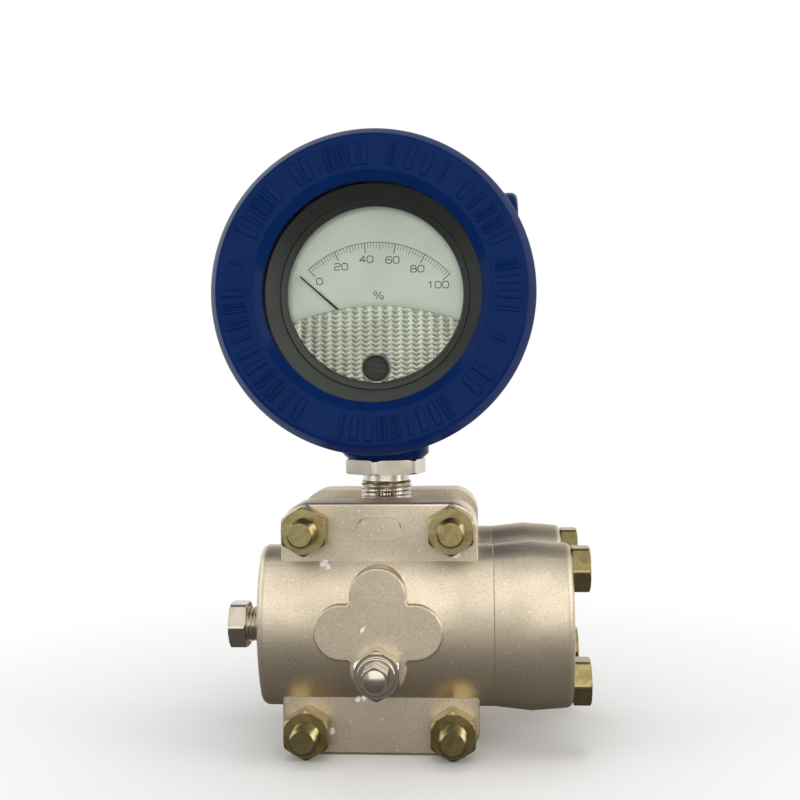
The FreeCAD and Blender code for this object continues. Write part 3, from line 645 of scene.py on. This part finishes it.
def dress(piece: Piece, finish: Finish) -> None:
    """Give every slot of a piece one finish.

    Args:
        piece: The piece.
        finish: Its finish.
    """
    if not piece.material_slots:
        piece.data.materials.append(finish.material())
    for entry in piece.material_slots:
        entry.material = finish.material()


def fitted(piece: Piece, body: str, finish: Finish, *nodes: str) -> None:
    """Dress a piece, let it ride on a body and let it stand for CAD nodes, which it hides.

    Args:
        piece: The piece.
        body: The body that carries it.
        finish: Its finish, which knows the slot.
        nodes: The CAD nodes that it replaces.
    """
    dress(piece, finish)
    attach(piece, body)
    if nodes:
        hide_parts(*nodes)
    LOG.info("%s rides on %s and stands for %s", piece.name, body, nodes or "no node")


def smooth_copy(node: str, name: str, sharp: float) -> Piece:
    """Copy of a CAD node with its triangles joined and shaded smooth up to an angle.

    Args:
        node: The CAD node.
        name: Name of the copy.
        sharp: Degrees over which an edge stays sharp.

    Returns:
        The new object.
    """
    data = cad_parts[node].data.copy()
    data.name = name
    data.materials.clear()
    piece = finished_mesh(name, data, sharp, False)
    level = piece.modifiers.new("level_normals", "WEIGHTED_NORMAL")
    level.keep_sharp, level.weight = True, 100
    return piece


def middle(node: str) -> Vector:
    """Middle of a CAD node's box."""
    low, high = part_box(node)
    return (low + high) / 2


# Sub-assemblies

@dataclass
class ProcessHead:
    """Castings, their fasteners, the end plug, the vent valves and the threaded neck."""

    bolt_radius: float = 5.0
    bolt_pitch: float = 1.5
    thread_depth: float = 0.62
    bolt_tip: float = 0.9
    flats: float = 16.0
    nut_height: float = 8.4
    head_height: float = 6.4
    bolt_reach: float = 8.2
    plug_radius: float = 6.4
    stem_flats: float = 8.9
    neck_radius: float = 10.0
    neck_length: float = 11.25
    thread_core: float = 0.85
    lock_nut_flats: float = 28.4
    lock_nut_turn: float = 18.0

    def build(self) -> None:
        """Make every piece in order."""
        for node in CAD_FINISHES[CAST_STEEL].split():
            finish = MARKED_CASTING if node == "process_flange_front" else CAST_STEEL
            fitted(smooth_copy(node, node + "_casting", SHARP_CAST), "process_head", finish, node)
        self.flange_fasteners()
        self.adapter_fasteners()
        self.end_plug()
        self.vent(Axis.FRONT)
        self.vent(Axis.REAR)
        self.neck()

    def head(self, turn: float, stand: Stand) -> Surface:
        """Hexagon head of a bolt, with a corner at an angle in degrees."""
        return stand.hexagonal(self.flats, (0.0, self.head_height), 0.0, (0.1, 1.1), turn)

    def bolt_thread(self, start: float, end: float, stand: Stand) -> Surface:
        """Threaded shank of a bolt, from a start to the end of its tip."""
        return stand.threaded(self.bolt_radius, self.thread_depth, self.bolt_pitch, (start, end), self.bolt_tip)

    def flange_fasteners(self) -> None:
        """Make four bolts from the rear and their nuts in front."""
        half, corner = self.flats / 2 * MM, self.flats / math.sqrt(3) * MM
        low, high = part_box("flange_nuts")
        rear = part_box("flange_bolts")[1].y - self.head_height * MM
        shank = (rear - high.y) / MM + 1
        nuts, bolts = Surface(), Surface()
        for x in (low.x + half, high.x - half):
            for z in (low.z + corner, high.z - corner):
                seat, back = Vector((x, high.y, z)), Vector((x, rear, z))
                front = Stand(Axis.FRONT, seat)
                nuts.join(front.hexagonal(self.flats, (0.0, self.nut_height), self.bolt_radius - 0.2,
                                          (0.2, 1.15), 90.0))
                bolts.join(self.bolt_thread(-2.0, self.nut_height + self.bolt_reach, front))
                rod = [(0, 0, 0), (self.bolt_radius, 0, 0), (self.bolt_radius, shank, 0), (0, shank, 0)]
                bolts.join(Stand(Axis.FRONT, back).revolved(rod, count=64))
                bolts.join(self.head(90.0, Stand(Axis.REAR, back)))
        fitted(nuts.mesh("flange_nuts_chamfered", SHARP_HEX), "process_head", YELLOW_ZINC, "flange_nuts")
        fitted(bolts.mesh("flange_bolts_threaded", SHARP_HEX), "process_head", YELLOW_ZINC, "flange_bolts")

    def adapter_fasteners(self) -> None:
        """Make four bolts whose heads stand on the adapters' right faces."""
        low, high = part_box("adapter_bolts")
        half, corner = self.flats / 2 * MM, self.flats / math.sqrt(3) * MM
        face = high.x - self.head_height * MM
        bolts = Surface()
        for y in (low.y + corner, high.y - corner):
            for z in (low.z + half, high.z - half):
                at = Vector((face, y, z))
                bolts.join(self.head(0.0, Stand(Axis.RIGHT, at)))
                bolts.join(self.bolt_thread(-1.0, (face - low.x) / MM, Stand(Axis.LEFT, at)))
        fitted(bolts.mesh("adapter_bolts_threaded", SHARP_HEX), "process_head", YELLOW_ZINC, "adapter_bolts")

    def end_plug(self) -> None:
        """Make the threaded plug with its chamfered hexagon head."""
        low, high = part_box("end_plug_front")
        centre = middle("end_plug_front")
        at = Vector((low.x + self.head_height * MM, centre.y, centre.z))
        plug = Stand(Axis.LEFT, at).hexagonal(self.flats, (0.0, self.head_height), 0.0, (0.9, 0.9), 0.0)
        plug.join(Stand(Axis.RIGHT, at).threaded(self.plug_radius, 0.5, 1.4, (-0.5, (high.x - at.x) / MM), 0.6))
        fitted(plug.mesh("end_plug_front_threaded", SHARP_HEX), "process_head", TURNED_STEEL, "end_plug_front")

    def vent(self, axis: Axis) -> None:
        """Make the seat with its round land and the stem with its pyramid end, on one side.

        Args:
            axis: Direction that the valve points in.
        """
        seat_node, stem_node = (start + axis.name.lower() for start in ("vent_seat_", "vent_stem_"))
        low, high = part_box(seat_node)
        centre = middle(seat_node)
        stand = Stand(axis, Vector((centre.x, low.y if axis is Axis.REAR else high.y, centre.z)))
        seat = stand.hexagonal(16.0, (9.0, 16.6), 3.4, (1.15, 1.25), 30.0)
        seat.join(stand.revolved([(3.15, 1.0, 0), (6.55, 0.0, 0.3), (6.55, 9.5, 0), (3.15, 9.5, 0)]))
        seat.join(stand.revolved([(3.15, 16.0, 0), (6.9, 16.0, 0), (6.9, 18.0, 0.5), (3.15, 18.0, 0.2)]))
        fitted(seat.mesh(seat_node + "_turned", SHARP_HEX), "process_head", TURNED_STEEL, seat_node)
        stem = stand.revolved([(0, 1.35, 0), (1.5, 1.35, 0), (3.0, 3.8, 0), (3.0, 18.4, 0), (0, 18.4, 0)])
        stem.join(stand.hexagonal(self.stem_flats, (18.3, 23.5), 0.0, (0.1, 0.35), 30.0, 0.1))
        stem.join(stand.revolved([(0, 23.4, 0), (4.1, 23.4, 0), (3.7, 23.62, 0), (0.0, 24.3, 0)]))
        fitted(stem.mesh(stem_node + "_turned", SHARP_HEX), stem_node, TURNED_STEEL, stem_node)

    def neck(self) -> None:
        """Make the cell disc with its shoulder, the neck's thread and the lock nut.

        The copy's neck cylinder shrinks to the core of the thread, so that the valleys show.
        """
        under, top = (corner.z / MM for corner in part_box("neck_lock_nut"))
        at = Vector((middle("neck_lock_nut").x, 0.0, 0.0))
        stand = Stand(Axis.UP, at)
        shoulder = under - self.neck_length
        body = smooth_copy("cell_body", "cell_body_turned", SHARP_BODY)
        points = np.empty(len(body.data.vertices) * 3)
        body.data.vertices.foreach_get("co", points)
        points = points.reshape(-1, 3)
        away = np.hypot(points[:, 0] - at.x, points[:, 1] - at.y) / MM
        height = points[:, 2] / MM
        core = (abs(away - self.neck_radius) < 0.1) & (height > shoulder + 0.3) & (height < under - 2.0)
        thin = np.where(core, (self.neck_radius - self.thread_core) / np.maximum(away, 1.0), 1.0)
        points[:, :2] = np.array(at)[:2] + (points[:, :2] - np.array(at)[:2]) * thin[:, None]
        body.data.vertices.foreach_set("co", points.ravel())
        fitted(body, "process_head", TURNED_STEEL, "cell_body")
        thread = stand.threaded(self.neck_radius + 0.02, 0.75, 1.55, (shoulder + 0.5, under - 2.6), 0.8)
        fitted(thread.mesh("neck_thread"), "process_head", THREAD_STEEL)
        nut = stand.hexagonal(self.lock_nut_flats, (under, top), 9.1, (1.1, 1.1), self.lock_nut_turn)
        fitted(nut.mesh("neck_lock_nut_chamfered", SHARP_HEX), "process_head", TURNED_STEEL, "neck_lock_nut")


@dataclass
class Housing:
    """Painted barrel, its two covers with raised marks, and the plug.

    Each group of marks is its start and end in degrees clockwise from the top, and their number, or 0
    for one short rib at the start.
    """

    seat: float = 29.5
    bore: float = 50.8
    face: float = 57.0
    window: float = 38.4
    sill: float = 54.4
    inside: float = 51.5
    band_inner: float = 43.9
    band_outer: float = 51.3
    mark_height: float = 0.6
    mark_slope: float = 0.4
    line: float = 0.22
    short_rib: float = 1.6
    groups: tuple[tuple[float, float, int], ...] = (
        (-34.5, 0.5, 7), (6.5, 36.0, 4), (41.5, 72.0, 5), (77.5, 101.5, 4), (111.0, 111.0, 0),
        (123.0, 137.0, 2), (144.5, 196.0, 9), (208.5, 273.0, 10), (282.5, 282.5, 0), (294.0, 318.5, 5))
    marks: tuple[Mark, ...] = (Mark.PAD, Mark.TWIN_RIBS, Mark.PAD, Mark.RIB, Mark.TWIN_RIBS)

    def build(self) -> None:
        """Make the barrel, both covers and the plug."""
        fitted(smooth_copy("housing_body", "housing_barrel", SHARP_BODY), "housing", BLUE_PAINT, "housing_body")
        self.covers()
        plug = smooth_copy("conduit_plug", "conduit_plug_turned", SHARP_BODY)
        fitted(plug, "housing", TURNED_STEEL, "conduit_plug")

    def mark_field(self, angle: Array, radius: Array) -> Array:
        """Height of the raised marks, each a pad, a rib or two ribs on the band.

        The height is the mark's height times a smooth step of the distance outside its outline.

        Args:
            angle: Clockwise from the top, in degrees.
            radius: Distance from the axis, in millimetres.

        Returns:
            Heights in millimetres, of the same shape as the two broadcast together.
        """
        centre = (self.band_inner + self.band_outer) / 2
        reach = (self.band_outer - self.band_inner) / 2
        height = np.zeros(np.broadcast(angle, radius).shape)
        for start, end, count in self.groups:
            places = np.linspace(start, end, count + 1)[:-1] + (end - start) / (2 * max(count, 1))
            for index, place in enumerate(places if count else [start]):
                x = ((angle - place + 180.0) % 360.0 - 180.0) * math.radians(1) * centre
                mark = self.marks[(index * 3 + count) % len(self.marks)] if count else Mark.RIB
                half_width, apart = mark.value
                half_length = reach if count else self.short_rib
                distance = np.hypot(np.maximum(np.abs(np.abs(x) - apart) - half_width, 0),
                                    np.maximum(np.abs(radius - centre) - half_length, 0))
                step = np.clip((self.line + self.mark_slope - distance) / self.mark_slope, 0, 1)
                height = np.maximum(height, self.mark_height * step * step * (3 - 2 * step))
        return height

    def covers(self) -> None:
        """Make the ring with its bevelled window and the blind cover, whose front bands carry marks.

        Each profile is turned round the axis, and the band's rings move forward by mark_field.
        """
        at = middle("window_glass")
        at.y = 0.0
        count = 960
        angle = np.arange(count) * 360.0 / count
        outer = rounded_outline([(self.bore, self.seat, 0.3), (56.3, self.seat, 0.9), (57.17, 51.0, 2.5),
                                 (54.0, self.face, 1.3), (52.2, self.face, 0)], 7, closed=False)
        band = np.stack([np.linspace(52.0, 43.0, 46), np.full(46, self.face)], -1)
        rows = slice(len(outer), len(outer) + len(band))
        mouth = [(self.window, self.sill, 0.5), (self.window, self.inside, 0.2)]
        blind = [(self.window, self.sill, 0.8), (0.02, self.sill, 0), (0.02, self.inside, 0)]
        for node, axis, inner in (("front_cover", Axis.FRONT, mouth), ("rear_cover", Axis.REAR, blind)):
            rest = rounded_outline([(42.9, self.face, 0), (41.6, self.face, 0.9), *inner,
                                    (self.bore, self.inside, 0)], 6, closed=False)
            profile = np.concatenate([outer, band, rest])
            reach = np.repeat(profile[:, 1:], count, 1)
            reach[rows] += self.mark_field(angle[None], profile[rows, :1])
            points = Stand(axis, at).rings(profile[:, :1], np.radians(90.0 - angle)[None], reach)
            cover = Surface().grid(points, wrap_u=True, wrap_v=True)
            fitted(cover.mesh(node + "_painted", SHARP_MOULDED), node, BLUE_PAINT, node)


# Strokes of wide square-cornered digits, from 0 to 1 across and up
GLYPHS = {
    "0": [[(0.22, 0), (0.78, 0), (1, 0.22), (1, 0.78), (0.78, 1), (0.22, 1), (0, 0.78), (0, 0.22), (0.22, 0)]],
    "1": [[(0.15, 0.75), (0.55, 1.0), (0.55, 0.0)]],
    "2": [[(0, 0.8), (0, 0.89), (0.22, 1), (0.78, 1), (1, 0.78), (1, 0.66), (0.78, 0.5), (0.22, 0.5), (0, 0.36),
           (0, 0), (1, 0)]],
    "4": [[(0.72, 0), (0.72, 1), (0, 0.3), (1, 0.3)]],
    "6": [[(1, 0.82), (0.89, 1), (0.22, 1), (0, 0.78), (0, 0.22), (0.22, 0), (0.78, 0), (1, 0.22), (1, 0.4),
           (0.78, 0.56), (0.22, 0.56), (0, 0.5)]],
    "8": [[(0.22, 0), (0.78, 0), (1, 0.16), (1, 0.38), (0.78, 0.53), (0.22, 0.53), (0, 0.38), (0, 0.16),
           (0.22, 0)],
          [(0.22, 0.53), (0.07, 0.66), (0.07, 0.86), (0.22, 1), (0.78, 1), (0.93, 0.86), (0.93, 0.66),
           (0.78, 0.53)]],
}


@dataclass
class Meter:
    """Bezel, printed dial, ridged field and zero screw."""

    dial_front: float = 36.0
    pivot_drop: float = 17.3
    screw_drop: float = 26.3
    screw_hole: float = 5.25
    scale_radius: float = 36.6
    scale_half: float = 44.65
    scale_tilt: float = 2.6
    digit_radius: float = 30.7
    digit_height: float = 2.35
    digit_width: float = 2.15
    digit_gap: float = 0.55
    percent_radius: float = 17.4
    pen: float = 0.30
    field_front: float = 38.05
    field_reach: float = 31.3
    field_radius: float = 31.5
    row_pitch: float = 1.7
    wave_length: float = 3.65
    ink: Surface = field(default_factory=Surface)
    stand: Stand | None = None

    def build(self) -> None:
        """Make the pieces from the back to the front."""
        centre = middle("window_glass")
        centre.y = 0.0
        self.stand = Stand(Axis.FRONT, centre)
        self.bezel()
        self.dial_print()
        self.ridged_field()
        self.zero_screw()

    def bezel(self) -> None:
        """Make the case's front: a sloping ring with a fine groove near the dial and a small lip."""
        case = self.stand.revolved([
            (40.25, 16.2, 0.6), (40.25, 42.85, 0.5), (39.2, 42.85, 0.4), (34.4, 41.0, 0.2), (34.2, 40.5, 0.1),
            (33.9, 40.9, 0.1), (31.7, 40.05, 0.25), (31.7, 39.05, 0), (33.0, 39.05, 0), (33.0, 35.25, 0),
            (38.3, 35.25, 0), (38.3, 18.0, 0.4), (0.02, 18.0, 0), (0.02, 16.2, 0)], 5)
        fitted(case.mesh("meter_case_moulded", SHARP_MOULDED), "housing", BLACK_BEZEL, "meter_case")

    def polar(self, radius: float, degrees: float) -> Pair:
        """X and Z on the dial of a place seen from the pivot, clockwise from the scale's middle."""
        a = math.radians(degrees + self.scale_tilt)
        return radius * math.sin(a), radius * math.cos(a) - self.pivot_drop

    def scale_angle(self, value: float) -> float:
        """Angle of a value from 0 to 100 on the scale, in degrees."""
        return -self.scale_half + value * self.scale_half / 50

    def dial_print(self) -> None:
        """Make the scale's arc, ticks, numbers and percent sign as one thin layer of ink."""
        arc = np.linspace(-self.scale_half, self.scale_half, 121)
        self.ribbon([self.polar(self.scale_radius, a) for a in arc], 0.20)
        for value in range(0, 101, 2):
            length, width = (3.6, 0.30) if value % 20 == 0 else (2.5, 0.2) if value % 10 == 0 else (1.9, 0.16)
            ends = (self.scale_radius + 0.1, self.scale_radius - length)
            self.ribbon([self.polar(end, self.scale_angle(value)) for end in ends], width)
        self.numbers()
        self.percent()
        fitted(self.ink.mesh("dial_print", outward=False), "housing", BLACK_INK)

    def ribbon(self, path: Path, width: float) -> None:
        """Add a line of ink, whose points lie on the dial's face."""
        flat = np.stack(stroke(path, width))
        self.ink.grid(self.stand.placed(np.insert(flat, 2, self.dial_front + 0.03, -1)))

    def numbers(self) -> None:
        """Draw an upright number under every tenth tick."""
        pitch = self.digit_width + self.digit_gap
        for value in range(0, 101, 20):
            x, z = self.polar(self.digit_radius, self.scale_angle(value))
            left = x - (len(str(value)) * pitch - self.digit_gap) / 2
            for index, digit in enumerate(str(value)):
                for path in GLYPHS[digit]:
                    self.ribbon([(left + index * pitch + u * self.digit_width,
                                  z + (v - 0.5) * self.digit_height) for u, v in path], self.pen)

    def percent(self) -> None:
        """Draw the percent sign below the scale: two small rings and a slanted bar."""
        x, z = self.polar(self.percent_radius, 0.5)
        angle = np.radians(np.arange(0, 361, 20))
        for dx, dz in ((-1.15, 0.75), (1.15, -0.75)):
            self.ribbon([(x + dx + 0.62 * math.cos(a), z + dz + 0.62 * math.sin(a)) for a in angle], self.pen)
        self.ribbon([(x - 0.95, z - 1.3), (x + 0.95, z + 1.3)], self.pen)

    def ridged_field(self) -> None:
        """Make the ridged field over the movement, with a convex top and a bare ring round the zero screw.

        At (x, z) the height is a saw of (z + 0.95 mm times a triangle wave of x) / row pitch, so the
        ridges run across in zigzags. Columns swell by a slow wave of x.
        """
        x = np.linspace(-self.field_reach, self.field_reach, 420)
        rim = np.sqrt(np.maximum(self.field_radius ** 2 - x ** 2, 0.04))
        top = 1.4 - (x / self.field_reach) ** 2 * 6.0 - self.pivot_drop + 12.0
        top = np.maximum(np.minimum(top, rim), 0.02 - rim)
        share = np.linspace(0, 1, 210)[:, None]
        z = -rim + (top + rim) * share
        zig = np.abs((x / self.wave_length) % 1.0 * 2 - 1) - 0.5
        phase = ((z + 0.95 * zig) / self.row_pitch) % 1.0
        saw = np.where(phase < 0.72, phase / 0.72, (1 - phase) / 0.28)
        swell = 0.5 + 0.5 * np.cos(TAU * x / self.wave_length)
        rise = 0.12 + 0.34 * saw * (0.25 + 0.75 * swell)
        edge = np.clip(np.minimum(share, 1 - share) * 60, 0, 1)
        rise = np.where(np.hypot(x, z + self.screw_drop) < self.screw_hole, 0.0, rise) * edge
        local = np.stack([np.broadcast_to(x, z.shape), z, self.field_front + rise], -1)
        ridges = Surface().grid(self.stand.placed(local))
        fitted(ridges.mesh("ridged_field", 60.0, outward=False), "housing", RIBBED_FIELD)

    def zero_screw(self) -> None:
        """Make the round head in its raised collar, with the two lips of a screwdriver slot."""
        low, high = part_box("zero_adjust_screw")
        at = middle("zero_adjust_screw")
        at.y = 0.0
        stand = Stand(Axis.FRONT, at)
        front, back, base = -low.y / MM, -high.y / MM, self.field_front
        head = stand.revolved([(0.02, back, 0), (1.6, back, 0), (1.6, base, 0), (4.85, base, 0),
                               (4.85, front, 0.45), (4.1, front, 0.15), (3.95, front - 0.35, 0.15),
                               (0.02, front - 0.35, 0)])
        fitted(head.mesh("zero_screw_moulded", SHARP_MOULDED), "zero_screw", SCREW_BLACK, "zero_adjust_screw")
        lips = Surface()
        for side in (-1, 1):
            edges = stroke([(-3.3, 0.35 + side * 0.95), (3.3, -0.35 + side * 0.95)], 0.7)
            inner, outer = edges[::-side]
            foot, crest = front - 0.36, front - 0.05
            rows = [(inner, foot), (inner, crest), (outer, crest), (outer, foot)]
            lips.grid(stand.placed(np.stack([np.insert(edge, 2, z, -1) for edge, z in rows])))
        fitted(lips.mesh("zero_screw_lips", 20.0), "zero_screw", BLACK_BEZEL)


# Studio

@dataclass
class Studio:
    """Camera, lamps, floor and world. The lamps, the aim and the floor are in metres.

    Each lamp is its name, place, width and height, watts, colour, and whether mirror rays see it.
    """

    lens: float = 50.26
    eye: Triple = (26.67, -439.65, 132.99)
    yaw: float = 0.0693
    pitch: float = -0.0092
    roll: float = -0.0113
    ambient: float = 0.46
    room: float = 0.45
    zenith: float = 0.3
    aim: Triple = (0, 0, 0.11)
    floor_half: float = 6.0
    floor_fade: Pair = (0.07, 0.28)
    card_radii: Pair = (10.0, 1200.0)
    card_height: float = 0.4
    lamps: tuple = (("front", (0.08, -1.04, 0.52), (1.3, 1.15), 5.6, (1.0, 0.98, 0.94), True),
                    ("right", (1.05, -0.35, 0.40), (0.5, 0.8), 3.6, (1.0, 0.98, 0.95), True),
                    ("left", (-0.95, -0.40, 0.45), (0.6, 0.9), 2.4, (0.97, 0.98, 1.0), True),
                    ("top", (0.0, 0.10, 1.20), (0.8, 0.8), 4.5, (1, 1, 1), False))

    def camera(self) -> None:
        """Make the camera: turned by yaw about Z, then tipped by pitch, then rolled."""
        turns = ((self.yaw, "Z"), (math.pi / 2 + self.pitch, "X"), (self.roll, "Z"))
        matrix = Matrix.Translation(Vector(self.eye) * MM)
        for angle, axis in turns:
            matrix = matrix @ Matrix.Rotation(angle, 4, axis)
        data = bpy.data.cameras.new("camera")
        data.lens, data.sensor_width = self.lens, 36.0
        data.clip_start, data.clip_end = 0.01, 50.0
        made = bpy.data.objects.new("camera", data)
        made.matrix_world = matrix
        bpy.context.scene.collection.objects.link(made)
        bpy.context.scene.camera = made

    def lamp_set(self) -> None:
        """Soft rectangular lamps, aimed at the object's middle."""
        for name, place, (width, height), power, colour, mirrored in self.lamps:
            data = bpy.data.lights.new(name, "AREA")
            data.shape, data.size, data.size_y = "RECTANGLE", width, height
            data.energy, data.color = power, colour
            made = bpy.data.objects.new(name, data)
            made.rotation_euler = (Vector(self.aim) - Vector(place)).to_track_quat("-Z", "Y").to_euler()
            made.location = place
            made.visible_glossy = mirrored
            bpy.context.scene.collection.objects.link(made)

    def world(self) -> None:
        """White for camera and glass rays, white behind for mirror rays, and grey for the rest.

        Mirror rays upwards and towards the viewer's side meet the darker room.
        """
        made = bpy.data.worlds.new("studio")
        bpy.context.scene.world = made
        made.use_nodes = True
        graph = Graph(made.node_tree)
        rays = graph.node("LightPath").outputs
        parts = graph.node("SeparateXYZ", graph.node("TexCoord").outputs["Generated"]).outputs
        behind = graph.remap(parts["Y"], -0.1, 0.35, self.room, 1.0)
        overhead = graph.remap(parts["Z"], 0.5, 0.9, 1.0, self.zenith)
        mirror = graph.combined("MULTIPLY", graph.combined("MULTIPLY", behind, overhead), rays["Is Glossy Ray"])
        plain = graph.combined("MAXIMUM", rays["Is Camera Ray"], rays["Is Transmission Ray"])
        others = graph.remap(rays["Is Glossy Ray"], 0.0, 1.0, self.ambient, 0.0)
        back = made.node_tree.nodes["Background"].inputs
        graph.feed(back["Color"], (1, 1, 1, 1))
        seen = graph.combined("MAXIMUM", mirror, plain)
        graph.feed(back["Strength"], graph.combined("MAXIMUM", seen, others))

    def floor(self) -> None:
        """Pale floor that fades into the white of the world far from the object."""
        half = self.floor_half
        corners = np.array([[[-half, -half, 0], [-half, half, 0]], [[half, -half, 0], [half, half, 0]]], float)
        plane = Surface().grid(corners).mesh("floor", outward=False)
        made = bpy.data.materials.new("floor")
        made.use_nodes = True
        graph = Graph(made.node_tree)
        graph.shade(Base_Color=(0.94, 0.94, 0.94, 1), Roughness=0.9)
        away = graph.node("VectorMath", graph.object_place(), operation="LENGTH").outputs["Value"]
        rays = graph.node("LightPath").outputs
        seen = graph.combined("MAXIMUM", rays["Is Camera Ray"], rays["Is Glossy Ray"])
        seen = graph.combined("MAXIMUM", seen, rays["Is Transmission Ray"])
        share = graph.combined("MULTIPLY", seen, graph.remap(away, *self.floor_fade, 0.0, 1.0))
        graph.output(share, graph.shader.outputs[0], graph.node("Emission").outputs[0])
        plane.data.materials.append(made)

    def dark_card(self) -> None:
        """Dark card on the floor round the front, which only mirror rays meet, for depth in the metals."""
        angle = np.linspace(math.radians(165), math.radians(375), 49)
        radius = np.array(self.card_radii)[:, None]
        ring = Stand(Axis.UP, Vector()).rings(radius, angle, self.card_height + 0 * radius)
        card = Surface().grid(ring).mesh("dark_card", outward=False)
        dress(card, DARK_CARD)
        for ray in ("camera", "diffuse", "transmission", "volume_scatter", "shadow"):
            setattr(card, "visible_" + ray, False)

    def build(self) -> None:
        """Set up the whole studio."""
        bpy.context.scene.view_settings.view_transform = "Standard"
        self.camera()
        self.world()
        self.floor()
        self.dark_card()
        self.lamp_set()


def main() -> None:
    """Build the studio, dress the CAD nodes and build every sub-assembly in order."""
    logging.basicConfig(level=logging.INFO)
    Studio().build()
    for finish, nodes in CAD_FINISHES.items():
        for node in nodes.split():
            dress(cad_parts[node], finish)
    for assembly in (ProcessHead(), Housing(), Meter()):
        assembly.build()


if __name__ == "__main__":
    main()
